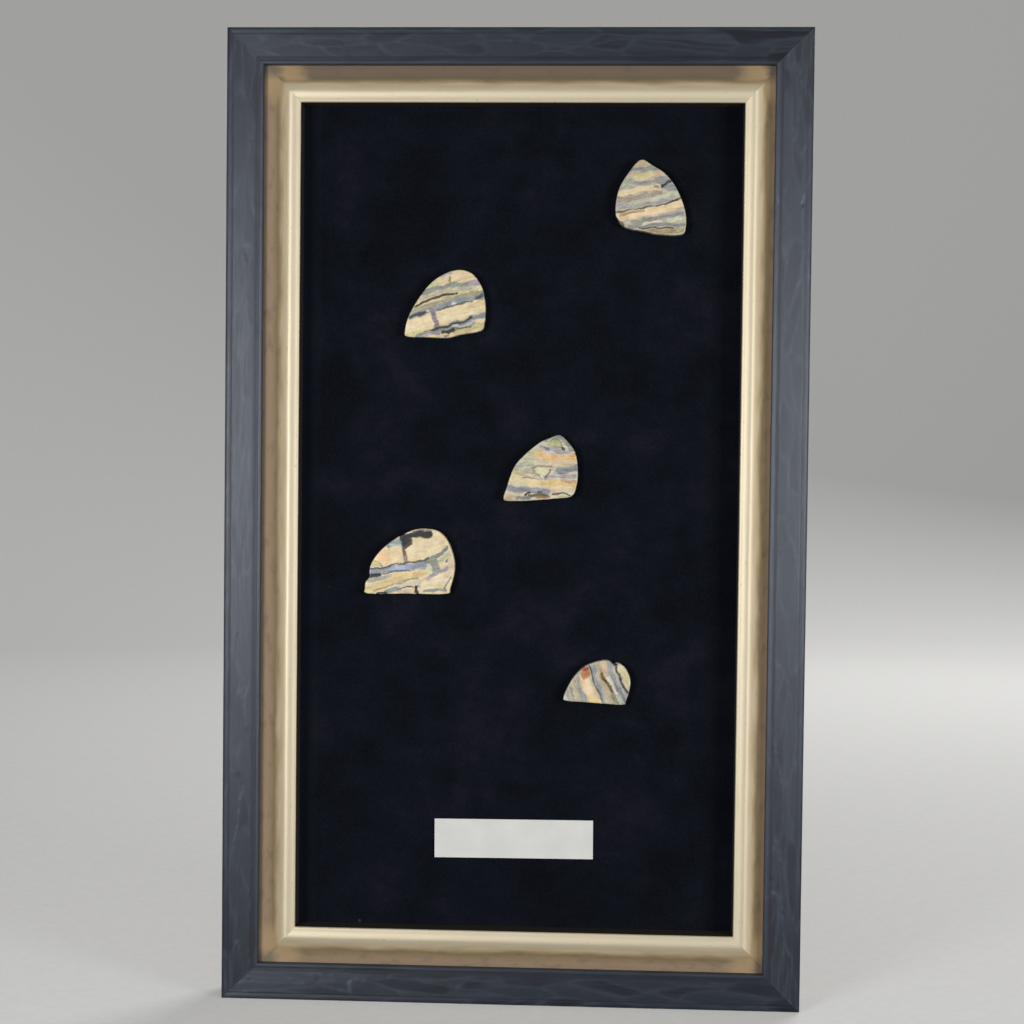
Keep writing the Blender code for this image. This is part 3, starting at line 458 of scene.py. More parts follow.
def antiqued_gilding():
    """Champagne metal leaf toned with brown glaze.

    It gives a bright satin crest, a brown toned band with blotches, tan corners, and a dark foot
    of the rise that is partly brown glaze and partly painted shade in the crease. Heavier glaze on
    some sides than others paints shade on those sides.
    """
    material, tree = new_material("antiqued_champagne_gilding")
    grain = add(tree, "UVMap", uv_map="grain")
    inward = add(tree, "Attribute", attribute_name="inward").outputs["Fac"]
    corner = add(tree, "Attribute", attribute_name="corner").outputs["Fac"]
    drift = add(tree, "TexNoise", {
        "Vector": add(tree, "Mapping", {"Vector": grain, "Scale": (*per_mm(5, 22), 1)}),
        "Scale": 1.0, "Detail": 3.0})
    nudge = add(tree, "MapRange", {"Value": drift, 1: 0.3, 2: 0.7, 3: -0.03, 4: 0.03})
    place = add(tree, "Math", {0: inward, 1: nudge}, operation="ADD")
    # The darkest stop, at the foot of the rise, is partly brown glaze and partly painted shade in
    # the crease.
    toned = add(tree, "ValToRGB", {"Fac": place}, stops=(
        (0.22, "#8f7c65"), (0.32, "#987e65"), (0.40, "#8c785a"), (0.48, "#7a6947"),
        (0.53, "#96825f"), (0.62, "#cdb997"), (0.70, "#dccdae"), (0.80, "#e2d5b8"),
        (0.94, "#dfd2b5"), (1.0, "#d8ccb0")))
    band = add(tree, "MapRange", {"Value": inward, 1: 0.6, 2: 0.48, 3: 0.0, 4: 1.0})
    # Each side's glaze darkens its band: brown glaze, and painted shade where a side is darker
    # than the others.
    glaze = add(tree, "Math", {0: add(tree, "Attribute", attribute_name="glaze").outputs["Fac"],
                               1: band}, operation="MULTIPLY")
    glazed_and_shaded = add(tree, "Mix", {0: add(tree, "Math", {0: glaze, 1: 0.8}, operation="MULTIPLY"),
                                6: toned, 7: "#5d5140"}, data_type="RGBA")
    blotches = add(tree, "TexNoise", {
        "Vector": add(tree, "Mapping", {"Vector": grain, "Scale": (*per_mm(4, 9), 1)}),
        "Scale": 1.0, "Detail": 4.0, "Roughness": 0.6})
    dark_spots = add(tree, "Math", {0: band, 1: add(
        tree, "MapRange", {"Value": blotches, 1: 0.52, 2: 0.75, 3: 0.0, 4: 0.6})},
        operation="MULTIPLY")
    spotted = add(tree, "Mix", {0: dark_spots, 6: glazed_and_shaded.outputs[2], 7: "#5c5041"},
                  data_type="RGBA")
    tan_place = add(tree, "ValToRGB", {"Fac": add(
        tree, "Math", {0: nudge, 1: 2.0, 2: corner}, operation="MULTIPLY_ADD")},
        stops=((0.0, 0.0), (0.1, 0.1), (0.2, 0.85), (0.34, 0.7), (0.48, 0.0)))
    grey_amount = add(tree, "Math", {0: band, 1: add(
        tree, "MapRange", {"Value": corner, 1: 0.22, 2: 0.08, 3: 0.0, 4: 0.75})},
        operation="MULTIPLY")
    tan_amount = add(tree, "Math", {0: tan_place, 1: band}, operation="MULTIPLY")
    greyed = add(tree, "Mix", {0: grey_amount, 6: spotted.outputs[2], 7: "#6b6255"},
                 data_type="RGBA")
    cornered = add(tree, "Mix", {0: tan_amount, 6: greyed.outputs[2], 7: "#a88d68"},
                   data_type="RGBA")
    specks = add(tree, "TexNoise", {
        "Vector": add(tree, "Mapping", {"Vector": grain, "Scale": (*per_mm(0.7, 3.5), 1)}),
        "Scale": 1.0, "Detail": 2.0})
    flecked = add(tree, "Mix", {0: add(tree, "MapRange", {"Value": specks, 1: 0.68, 2: 0.76,
                                                          3: 0.0, 4: 0.3}),
                                6: cornered.outputs[2], 7: "#4a3d2e"}, data_type="RGBA")
    glazed = add(tree, "MapRange", {"Value": inward, 1: 0.56, 2: 0.76, 3: 1.0, 4: 0.0})
    # The inner side below the nose is coloured near-black brown and made dull.
    inside = add(tree, "MapRange", {
        "Value": add(tree, "Math", {0: nudge, 1: add(
            tree, "Attribute", attribute_name="inside").outputs["Fac"]}, operation="ADD"),
        1: 0.1, 2: 0.8})
    dark_inner_side = add(tree, "Mix", {0: inside, 6: flecked.outputs[2], 7: "#2c271f"}, data_type="RGBA")
    dull = add(tree, "Math", {0: glazed, 1: inside}, operation="MAXIMUM")
    shader = add(tree, "BsdfPrincipled", {
        "Base Color": dark_inner_side.outputs[2],
        "Metallic": add(tree, "MapRange", {"Value": dull, 3: 0.48, 4: 0.0}),
        "Roughness": add(tree, "MapRange", {"Value": dull, 3: 0.52, 4: 0.68}),
        "Normal": add(tree, "Bump", {"Height": specks, "Strength": 0.5,
                                     "Distance": 0.02 * MM})})
    add(tree, "OutputMaterial", {"Surface": shader})
    return material


def raw_pine():
    """Planed, unpainted pine on the hidden faces: pale yellow-brown with straight grain."""
    material, tree = new_material("raw_planed_pine")
    grain = add(tree, "UVMap", uv_map="grain")
    rings = add(tree, "TexNoise", {
        "Vector": add(tree, "Mapping", {"Vector": grain, "Scale": (*per_mm(2.2, 120), 1)}),
        "Scale": 1.0, "Detail": 4.0, "Roughness": 0.55})
    fibres = add(tree, "TexNoise", {
        "Vector": add(tree, "Mapping", {"Vector": grain, "Scale": (*per_mm(0.4, 8), 1)}),
        "Scale": 1.0, "Detail": 2.0})
    wood = add(tree, "ValToRGB", {"Fac": rings}, stops=(
        (0.3, "#c9a878"), (0.48, "#bd9763"), (0.55, "#9a7242"), (0.62, "#c3a06c")))
    soft = add(tree, "Mix", {0: 0.25, 6: wood, 7: add(
        tree, "ValToRGB", {"Fac": fibres}, stops=((0.3, "#8d6a42"), (0.7, "#dcc296")))},
        data_type="RGBA")
    shader = add(tree, "BsdfPrincipled", {
        "Base Color": soft.outputs[2], "Roughness": 0.72,
        "Normal": add(tree, "Bump", {"Height": fibres, "Strength": 0.8, "Distance": 0.05 * MM})})
    add(tree, "OutputMaterial", {"Surface": shader})
    return material


def black_velvet():
    """Cotton velvet, blue-black.

    The short pile gives a near-black matt ground with cloudy patches where it leans one way or
    the other, and a weak sheen at grazing angles. Two specks of pale lint lie on it.
    """
    material, tree = new_material("black_cotton_velvet")
    place = add(tree, "TexCoord").outputs["Object"]
    clouds = add(tree, "TexNoise", {"Vector": place, "Scale": per_mm(38)[0], "Detail": 4.0,
                                    "Roughness": 0.6, "Distortion": 0.6})
    lean = add(tree, "TexNoise", {
        "Vector": add(tree, "Mapping", {"Vector": place, "Scale": per_mm(18, 30, 12)}),
        "Scale": 1.0, "Detail": 3.0, "Roughness": 0.6})
    # The pile's tufts are about 0.2 mm apart, drawn at 0.7 mm so that they show.
    tufts = add(tree, "TexNoise", {"Vector": place, "Scale": per_mm(0.7)[0], "Detail": 2.0})
    patches = add(tree, "Math", {0: clouds, 1: add(tree, "Math", {0: lean, 1: 0.6},
                                                   operation="MULTIPLY")}, operation="ADD")
    ground = add(tree, "ValToRGB", {"Fac": patches}, stops=(
        (0.58, "#0a0d14"), (0.76, "#0f131b"), (0.9, "#151720"), (1.0, "#1b1c25")))
    piled = add(tree, "Mix", {0: 0.35, 6: ground, 7: add(
        tree, "ValToRGB", {"Fac": tufts}, stops=((0.3, "#050609"), (0.7, "#1c1d26")))},
        data_type="RGBA")
    # The velvet beside the left slip is painted paler: painted light that lifts the shade the slip
    # casts there.
    painted_light_beside_slip = add(tree, "MapRange", {"Value": add(tree, "SeparateXYZ", {"Vector": place}),
                                     1: -90 * MM, 2: -99 * MM, 3: 0.0, 4: 0.6})
    shown = add(tree, "Mix", {0: painted_light_beside_slip, 6: piled.outputs[2], 7: "#1f2430"},
                data_type="RGBA").outputs[2]
    for x, z, radius, strength in VELVET_LINT:
        gap = add(tree, "VectorMath", {0: place, 1: (x * MM, front(VELVET_FRONT_V), z * MM)},
                  operation="DISTANCE").outputs["Value"]
        near = add(tree, "MapRange", {"Value": gap, 1: radius * 0.5 * MM, 2: radius * MM,
                                      3: strength, 4: 0.0})
        shown = add(tree, "Mix", {0: near, 6: shown, 7: "#9c9a94"}, data_type="RGBA").outputs[2]
    shader = add(tree, "BsdfPrincipled", {
        "Base Color": shown, "Roughness": 1.0, "Specular IOR Level": 0.05,
        "Sheen Weight": 0.06, "Sheen Roughness": 0.35, "Sheen Tint": "#3a3f55",
        "Normal": add(tree, "Bump", {"Height": tufts, "Strength": 1.0, "Distance": 0.2 * MM})})
    add(tree, "OutputMaterial", {"Surface": shader})
    return material


def polished_ivory():
    """Fossil mammoth ivory, stained by minerals in the ground, cut and polished.

    It gives a smooth waxy gloss over cream, tan, grey-blue and olive growth bands, with fine
    growth lines along the bands and hairline cracks across them.
    """
    material, tree = new_material("polished_mammoth_ivory")
    strata = add(tree, "UVMap", uv_map="strata")
    painted = add(tree, "Attribute", attribute_name="bands").outputs["Color"]
    lines = add(tree, "TexNoise", {
        "Vector": add(tree, "Mapping", {"Vector": strata, "Scale": (*per_mm(0.42, 7), 1)}),
        "Scale": 1.0, "Detail": 3.0, "Roughness": 0.6, "Distortion": 0.5})
    mottle = add(tree, "TexNoise", {
        "Vector": add(tree, "Mapping", {"Vector": strata, "Scale": (*per_mm(1.5, 3), 1)}),
        "Scale": 1.0, "Detail": 4.0, "Roughness": 0.65})
    shades = add(tree, "ValToRGB", {"Fac": lines}, stops=((0.32, 0.26), (0.5, 0.5), (0.7, 0.66)))
    lined = add(tree, "Mix", {0: 0.6, 6: painted, 7: shades}, data_type="RGBA",
                blend_type="OVERLAY")
    mottled = add(tree, "Mix", {0: 0.45, 6: lined.outputs[2], 7: add(
        tree, "ValToRGB", {"Fac": mottle}, stops=((0.3, 0.3), (0.7, 0.68)))},
        data_type="RGBA", blend_type="OVERLAY")
    crazing = add(tree, "TexVoronoi", {
        "Vector": add(tree, "Mapping", {"Vector": strata, "Scale": (*per_mm(4.5, 3.2), 1)}),
        "Scale": 1.0, "Randomness": 1.0}, feature="DISTANCE_TO_EDGE")
    crack = add(tree, "MapRange", {"Value": crazing, 1: 0.0, 2: 0.03, 3: 0.16, 4: 0.0})
    cracked = add(tree, "Mix", {0: crack, 6: mottled.outputs[2], 7: "#5d523f"},
                  data_type="RGBA")
    deep = add(tree, "Gamma", {"Color": cracked.outputs[2], "Gamma": 1.3})
    muted = add(tree, "HueSaturation", {"Color": deep, "Saturation": 0.9})
    polished = add(tree, "VectorMath", {0: muted, 1: (1.11, 1.14, 1.24)}, operation="MULTIPLY")
    height = add(tree, "Math", {0: lines, 1: crack}, operation="SUBTRACT")
    shader = add(tree, "BsdfPrincipled", {
        "Base Color": polished,
        "Roughness": add(tree, "MapRange", {"Value": mottle, 1: 0.3, 2: 0.7, 3: 0.3, 4: 0.46}),
        "IOR": 1.54,
        "Subsurface Weight": 0.08, "Subsurface Radius": (1.0, 0.6, 0.35),
        "Subsurface Scale": 0.6 * MM,
        "Normal": add(tree, "Bump", {"Height": height, "Strength": 0.5,
                                     "Distance": 0.03 * MM})})
    add(tree, "OutputMaterial", {"Surface": shader})
    return material


def card_stock():
    """Uncoated card, guillotine cut: flat off-white with a faint fibre."""
    material, tree = new_material("uncoated_card")
    place = add(tree, "TexCoord").outputs["Object"]
    fibre = add(tree, "TexNoise", {"Vector": place, "Scale": per_mm(0.5)[0], "Detail": 4.0,
                                   "Roughness": 0.7})
    cloud = add(tree, "TexNoise", {"Vector": place, "Scale": per_mm(12)[0], "Detail": 2.0})
    sheet = add(tree, "ValToRGB", {"Fac": cloud}, stops=((0.35, "#d9dad6"), (0.65, "#e2e2de")))
    specked = add(tree, "Mix", {0: 0.12, 6: sheet, 7: add(
        tree, "ValToRGB", {"Fac": fibre}, stops=((0.3, "#b9b9b0"), (0.7, "#f6f6f0")))},
        data_type="RGBA")
    shader = add(tree, "BsdfPrincipled", {
        "Base Color": specked.outputs[2], "Roughness": 0.85,
        "Normal": add(tree, "Bump", {"Height": fibre, "Strength": 0.6, "Distance": 0.03 * MM})})
    add(tree, "OutputMaterial", {"Surface": shader})
    return material


def hardboard():
    """Tempered hardboard: pressed brown wood fibre with a slight polish and dark flecks."""
    material, tree = new_material("tempered_hardboard")
    place = add(tree, "TexCoord").outputs["Object"]
    felt = add(tree, "TexNoise", {"Vector": place, "Scale": per_mm(1.4)[0], "Detail": 5.0,
                                  "Roughness": 0.75})
    cloud = add(tree, "TexNoise", {"Vector": place, "Scale": per_mm(30)[0], "Detail": 3.0})
    board = add(tree, "ValToRGB", {"Fac": cloud}, stops=((0.35, "#6f4a2c"), (0.65, "#83593a")))
    flecked = add(tree, "Mix", {0: 0.4, 6: board, 7: add(
        tree, "ValToRGB", {"Fac": felt}, stops=((0.35, "#4a2f1a"), (0.65, "#a37b52")))},
        data_type="RGBA")
    shader = add(tree, "BsdfPrincipled", {
        "Base Color": flecked.outputs[2], "Roughness": 0.62,
        "Normal": add(tree, "Bump", {"Height": felt, "Strength": 0.7, "Distance": 0.08 * MM})})
    add(tree, "OutputMaterial", {"Surface": shader})
    return material


def grey_board():
    """Uncoated greyboard that the velvet is stretched over: dull grey with paper fibre."""
    material, tree = new_material("uncoated_greyboard")
    place = add(tree, "TexCoord").outputs["Object"]
    fibre = add(tree, "TexNoise", {"Vector": place, "Scale": per_mm(0.9)[0], "Detail": 5.0,
                                   "Roughness": 0.7})
    board = add(tree, "ValToRGB", {"Fac": fibre}, stops=((0.3, "#a39f96"), (0.7, "#c2beb4")))
    shader = add(tree, "BsdfPrincipled", {
        "Base Color": board, "Roughness": 0.9,
        "Normal": add(tree, "Bump", {"Height": fibre, "Strength": 0.6, "Distance": 0.05 * MM})})
    add(tree, "OutputMaterial", {"Surface": shader})
    return material


def zinc_steel():
    """Zinc-plated stamped steel: bluish grey metal, faintly clouded and scratched."""
    material, tree = new_material("zinc_plated_steel")
    place = add(tree, "TexCoord").outputs["Object"]
    cloud = add(tree, "TexNoise", {"Vector": place, "Scale": per_mm(2.5)[0], "Detail": 4.0})
    scratches = add(tree, "TexNoise", {
        "Vector": add(tree, "Mapping", {"Vector": place, "Scale": per_mm(4, 0.3, 0.3)}),
        "Scale": 1.0, "Detail": 2.0})
    plate = add(tree, "ValToRGB", {"Fac": cloud}, stops=((0.3, "#a9abaa"), (0.7, "#c9cac6")))
    shader = add(tree, "BsdfPrincipled", {
        "Base Color": plate, "Metallic": 1.0,
        "Roughness": add(tree, "MapRange", {"Value": scratches, 1: 0.3, 2: 0.7,
                                            3: 0.28, 4: 0.46}),
        "Normal": add(tree, "Bump", {"Height": scratches, "Strength": 0.4,
                                     "Distance": 0.01 * MM})})
    add(tree, "OutputMaterial", {"Surface": shader})
    return material


def pad_rubber():
    """Moulded black rubber pads: matt, with a little dust and a fine skin."""
    material, tree = new_material("moulded_rubber")
    place = add(tree, "TexCoord").outputs["Object"]
    skin = add(tree, "TexNoise", {"Vector": place, "Scale": per_mm(0.4)[0], "Detail": 3.0})
    dust = add(tree, "TexNoise", {"Vector": place, "Scale": per_mm(3)[0], "Detail": 3.0})
    rubber = add(tree, "ValToRGB", {"Fac": dust}, stops=((0.4, "#232324"), (0.75, "#3b3a38")))
    shader = add(tree, "BsdfPrincipled", {
        "Base Color": rubber, "Roughness": 0.75,
        "Normal": add(tree, "Bump", {"Height": skin, "Strength": 0.5, "Distance": 0.05 * MM})})
    add(tree, "OutputMaterial", {"Surface": shader})
    return material


def studio_paper():
    """Seamless background paper, lit from behind as well: even, pale and without a pattern."""
    material, tree = new_material("seamless_studio_paper")
    place = add(tree, "TexCoord").outputs["Object"]
    tooth = add(tree, "TexNoise", {"Vector": place, "Scale": per_mm(4)[0], "Detail": 3.0})
    paper = add(tree, "ValToRGB", {"Fac": tooth}, stops=((0.3, "#d9d8d5"), (0.7, "#dfdedb")))
    add(tree, "OutputMaterial", {"Surface": add(tree, "BsdfPrincipled", {
        "Base Color": paper, "Roughness": 0.95, "Specular IOR Level": 0.2,
        "Emission Color": "#f2f1ee", "Emission Strength": PAPER_GLOW})})
    return material


# ---------------------------------------------------------------- mouldings


Side = namedtuple("Side", "mesh places u v s reach slope")


def arc(u, v, radius, start, end, steps):
    """Points of an arc in the (u, v) plane, angles in degrees."""
    angles = [math.radians(start + (end - start) * i / steps) for i in range(steps + 1)]
    return [(u + radius * math.cos(a), v + radius * math.sin(a)) for a in angles]


def resampled(points, step):
    """The same broken line with points added so that no stretch is longer than step."""
    made = [points[0]]
    for (u0, v0), (u1, v1) in zip(points, points[1:]):
        parts = max(1, math.ceil(math.hypot(u1 - u0, v1 - v0) / step))
        made += [(u0 + (u1 - u0) * i / parts, v0 + (v1 - v0) * i / parts)
                 for i in range(1, parts + 1)]
    return made


def rail_section():
    """Dark rail: rounded rim, groove, wide face with a slight crown, chamfer and sight bead."""
    outside = resampled([(0.0, 0.0), (0.0, 21.6)], 1.2)
    rim = arc(2.0, 21.6, 2.0, 180, 90, 8)
    groove = [(2.6, 23.6), (2.85, 23.42), (3.1, 23.42), (3.4, 23.7)]
    face = [(u, RAIL_DEPTH - 0.16 * ((u - 8.6) / 4.7) ** 2) for u in np.linspace(3.9, 13.3, 15)]
    chamfer = [(13.9, 23.5), (14.5, 23.1), (14.9, 23.1)]
    bead = arc(RAIL_SIGHT_U - 1.0, 22.6, 1.0, 145, 0, 8)
    lip = [(RAIL_SIGHT_U, LIP_BACK_V), (REBATE_U, LIP_BACK_V), (REBATE_U, 0.0)]
    return outside + rim[1:] + groove + face + chamfer + bead + lip


def slip_section(sight_u):
    """Gilded slip: flat band, S-shaped rise to the crest, gentle fall and a round nose.

    It is drawn for the upright sides, and stretched across until sight_u is its inner edge.
    """
    points = resampled([(SLIP_HIDDEN_U, SLIP_BAND_V), (SLIP_BAND_END_U, SLIP_BAND_V)], 0.6)
    rise = SLIP_CREST_U - SLIP_BAND_END_U
    for turn in np.linspace(0, math.pi, 13)[1:]:
        points.append((SLIP_BAND_END_U + rise * turn / math.pi,
                       SLIP_BAND_V + (SLIP_CREST_V - SLIP_BAND_V) * (1 - math.cos(turn)) / 2))
    fall_end_u = SLIP_SIDE_SIGHT_U - SLIP_NOSE_RADIUS
    for t in np.linspace(0, 1, 10)[1:]:
        points.append((SLIP_CREST_U + (fall_end_u - SLIP_CREST_U) * t,
                       SLIP_CREST_V - (SLIP_CREST_V - SLIP_NOSE_V) * t ** 2))
    points += arc(fall_end_u, SLIP_NOSE_V - SLIP_NOSE_RADIUS, SLIP_NOSE_RADIUS, 66, 0, 6)
    sight = resampled([points[-1], (SLIP_SIDE_SIGHT_U, SLIP_BACK_V)], 1.5)
    stretch = (sight_u - SLIP_HIDDEN_U) / (SLIP_SIDE_SIGHT_U - SLIP_HIDDEN_U)
    return [(SLIP_HIDDEN_U + (u - SLIP_HIDDEN_U) * stretch, v)
            for u, v in [(SLIP_HIDDEN_U, SLIP_BACK_V)] + points + sight[1:]]


def scraped(across, along, seed):
    """Depth cut below the planed face in mm, how near a ridge is, and the facet's paleness.

    The scraper leaves long shallow facets, each leaning a little to one side or the other.
    """
    bend = noise.noise(Vector((across / 7, along / 35, seed)))
    sway = noise.noise(Vector((across / 3, along / 9, seed + 5)))
    cell = Vector((across / 5.5 + 0.5 * bend + 0.12 * sway, along / 26 + 0.6 * bend, seed))
    distances, centres = noise.voronoi(cell)
    gap = distances[1] - distances[0]
    lean = 0.05 * noise.cell(centres[0] * 5)
    streak = noise.noise(Vector((across / 0.8, along / 16, seed + 9)))
    depth = 0.14 + lean * (cell.x - centres[0].x) * 5.5 + 0.02 * (streak + 0.5)
    tone = 0.5 + 0.5 * noise.cell(centres[0] * 9) * min(1.0, gap / 0.25)
    return max(0.0, depth), max(0.0, 1 - gap / 0.14), tone


def chipped(across, along, seed):
    """Depth in mm of the small flakes that broke out of the open grain."""
    distances, centres = noise.voronoi(Vector((across / 1.6, along / 5, seed)))
    if noise.cell(centres[0] * 7) < 0.86:
        return 0.0
    return 0.16 * max(0.0, 1 - (distances[0] / 0.42) ** 2)


def moulding(name, section, met_sight_u, side, pitch):
    """One mitred side of a frame as a mesh in the side's own frame, with u, v and s in mm.

    The side is drawn as the top one, about the frame's centre. s runs along it. met_sight_u
    is the inner edge of the sides at its ends.
    """
    _, _, half_length, half_span = side
    bm = bmesh.new()
    outline = [bm.verts.new((-half_length * MM, front(v), (half_span - u) * MM))
               for u, v in section]
    grown = bmesh.ops.extrude_face_region(bm, geom=[bm.faces.new(outline)], use_keep_orig=True)
    far_end = [item for item in grown["geom"] if isinstance(item, bmesh.types.BMVert)]
    bmesh.ops.translate(bm, verts=far_end, vec=(2 * half_length * MM, 0, 0))
    long_edges = [edge for edge in bm.edges if edge.calc_length() > half_length * MM]
    bmesh.ops.subdivide_edges(bm, edges=long_edges, cuts=round(2 * half_length / pitch))
    bmesh.ops.recalc_face_normals(bm, faces=bm.faces)
    outer_u = section[0][0]
    slope = (met_sight_u - outer_u) / (max(section)[0] - outer_u)
    for vert in bm.verts:
        inset = outer_u + (half_span - vert.co.z / MM - outer_u) * slope
        vert.co.x *= 1 - (inset + MITRE_GAP * math.sqrt(2)) / half_length
    mesh = mesh_from(bm, name)
    places = points_of(mesh) / MM
    u, s = half_span - places[:, 2], places[:, 0]
    reach = half_length - outer_u - (u - outer_u) * slope
    return Side(mesh, places, u, -places[:, 1] - WALL_GAP, s, reach, slope)


def carve(made, depth):
    """Sink the surface of a moulded side by depth mm, and keep its ends on their mitres."""
    normals = normals_of(made.mesh)
    at_end = made.reach - np.abs(made.s) < 0.1
    normals[at_end, 0] = 0
    normals /= np.linalg.norm(normals, axis=1, keepdims=True)
    moved = made.places - normals * depth[:, None]
    inward = made.places[:, 2] - moved[:, 2]
    moved[:, 0] *= 1 - made.slope * inward / made.reach
    set_points(made.mesh, moved * MM)


def seat_side(mesh, side, shift=Vector()):
    """Turn a side drawn as the top one into its place in the frame."""
    mesh.transform(Matrix.Translation(CENTRE + shift)
                   @ Matrix.Rotation(math.radians(side[1]), 4, "Y"))


def face_places(mesh):
    """Middle of each face, in mm."""
    flat = np.empty(len(mesh.polygons) * 3)
    mesh.polygons.foreach_get("center", flat)
    return flat.reshape(-1, 3) / MM


def scraped_rail(side, seed, chips):
    """A dark outer rail with hand-scraped faces and bare wood behind."""
    word, _, half_length, half_span = side
    made = moulding(f"rail_{word}", rail_section(), RAIL_SIGHT_U, side, RAIL_PITCH)
    mesh, u, v, s = made.mesh, made.u, made.v, made.s
    across = u + np.where(u < 3, -1, 1) * (RAIL_DEPTH - v)
    painted = (v > 0.5) & ~((v < LIP_BACK_V + 0.1) & (u > REBATE_U - 0.1))
    depth, ridge, tone = np.zeros(len(u)), np.zeros(len(u)), np.full(len(u), 0.5)
    for i in np.flatnonzero(painted):
        depth[i], ridge[i], tone[i] = scraped(across[i], s[i], seed)
        if chips:
            depth[i] += chipped(across[i], s[i], seed)
    # The rim, groove and bead are narrow and were only sanded, so they keep their shape.
    narrow = (v > 19) & ((u < 3.8) | (u > 13.4))
    depth[narrow] *= 0.3
    carve(made, depth)
    # The ridges and the crest of the sight bead are painted paler: partly worn paint, partly
    # painted highlight.
    bead = np.clip((v - 22.9) / 0.5, 0, 1) * (u > 15.2)
    set_value(mesh, "ridge", np.where(painted, np.maximum(ridge, bead), 0))
    set_value(mesh, "facet", tone)
    # The groove and the chamfer are painted darker: painted shade.
    set_value(mesh, "painted_recess_shade", np.interp(u, (2.5, 2.8, 3.1, 3.5, 13.2, 13.7, 14.9, 15.3),
                                        (0, 0.4, 0.4, 0, 0, 0.7, 0.7, 0)) * (v > 22.5))
    set_uv(mesh, "grain", across, s + 700 * seed)
    centres = face_places(mesh)
    face_u, face_v = half_span - centres[:, 2], -centres[:, 1] - WALL_GAP
    bare = (face_v < 0.2) | ((face_v < LIP_BACK_V + 0.1) & (face_u > REBATE_U - 0.1))
    mesh.polygons.foreach_set("material_index", bare.astype(int))
    seat_side(mesh, side)
    return mesh


def gilded_slip(side, seed, glaze):
    """A gilded inner rail with a faint hand-laid unevenness and brown glaze on its band, heavier
    on some sides than others: the difference between sides is painted shade.
    """
    word, _, half_length, half_span = side
    sight_u, met_sight_u = SLIP_SIDE_SIGHT_U, SLIP_END_SIGHT_U
    if word in ("top", "bottom"):
        sight_u, met_sight_u = met_sight_u, sight_u
    made = moulding(f"slip_{word}", slip_section(sight_u), met_sight_u, side, SLIP_PITCH)
    mesh, u, v, s = made.mesh, made.u, made.v, made.s
    shown = (v > SLIP_BACK_V + 0.1) & (u > SLIP_HIDDEN_U + 0.1)
    depth = np.zeros(len(u))
    for i in np.flatnonzero(shown):
        wave = noise.noise(Vector((u[i] / 4, s[i] / 18, seed)))
        grain = noise.noise(Vector((u[i] / 0.9, s[i] / 12, seed + 4)))
        depth[i] = 0.05 + 0.05 * wave + 0.02 * grain
    carve(made, depth)
    set_value(mesh, "inward", (u - SLIP_HIDDEN_U) / (sight_u - SLIP_HIDDEN_U))
    set_value(mesh, "corner", (half_length - RAIL_SIGHT_U - np.abs(s)) / 40)
    set_value(mesh, "inside", np.clip((21.0 - v) / 0.4, 0, 1) * (u > sight_u - 1))
    set_value(mesh, "glaze", np.full(len(u), glaze))
    set_uv(mesh, "grain", u + v, s + 900 * seed)
    centres = face_places(mesh)
    face_u, face_v = half_span - centres[:, 2], -centres[:, 1] - WALL_GAP
    bare = (face_v < SLIP_BACK_V + 0.1) | (face_u < SLIP_HIDDEN_U + 0.1)
    mesh.polygons.foreach_set("material_index", bare.astype(int))
    seat_side(mesh, side, SLIP_SHIFT)
    return mesh


# ---------------------------------------------------------------- velvet, slices, card


def stretched_velvet():
    """Velvet stretched over its board, with the slight unevenness of a hand-pulled cloth."""
    bm = slab(VELVET_WIDTH, VELVET_LENGTH, VELVET_THICKNESS,
              VELVET_FRONT_V - VELVET_THICKNESS, 120, 208)
    mesh = mesh_from(bm, "velvet")
    places = points_of(mesh) / MM
    facing = np.abs(places[:, 1] + WALL_GAP + VELVET_FRONT_V) < 0.01
    for i in np.flatnonzero(facing):
        x, _, z = places[i]
        wave = noise.noise(Vector((x / 26, z / 40, 2.0)))
        ripple = noise.noise(Vector((x / 6, z / 9, 5.0)))
        places[i, 1] += 0.10 + 0.08 * wave + 0.03 * ripple
    set_points(mesh, places * MM)
    mesh.transform(Matrix.Translation(CENTRE))
    return mesh


def smooth_line(points, steps=4):
    """Open Catmull-Rom curve through the points, as an (n, 2) array."""
    ends = [2 * np.array(points[0]) - points[1]], [2 * np.array(points[-1]) - points[-2]]
    run = [*ends[0], *map(np.array, points), *ends[1]]
    made = []
    for p0, p1, p2, p3 in zip(run, run[1:], run[2:], run[3:]):
        for j in range(steps):
            t = j / steps
            made.append(0.5 * (2 * p1 + (p2 - p0) * t + (2 * p0 - 5 * p1 + 4 * p2 - p3) * t ** 2
                               + (3 * p1 - p0 - 3 * p2 + p3) * t ** 3))
    return np.array([*made, run[-2]])


def distance_to(places, line):
    """Distance of each place from a broken line."""
    best = np.full(len(places), np.inf)
    for start, end in zip(line, line[1:]):
        run = end - start
        t = np.clip((places - start) @ run / max(run @ run, 1e-9), 0, 1)
        best = np.minimum(best, np.hypot(*(places - start - t[:, None] * run).T))
    return best


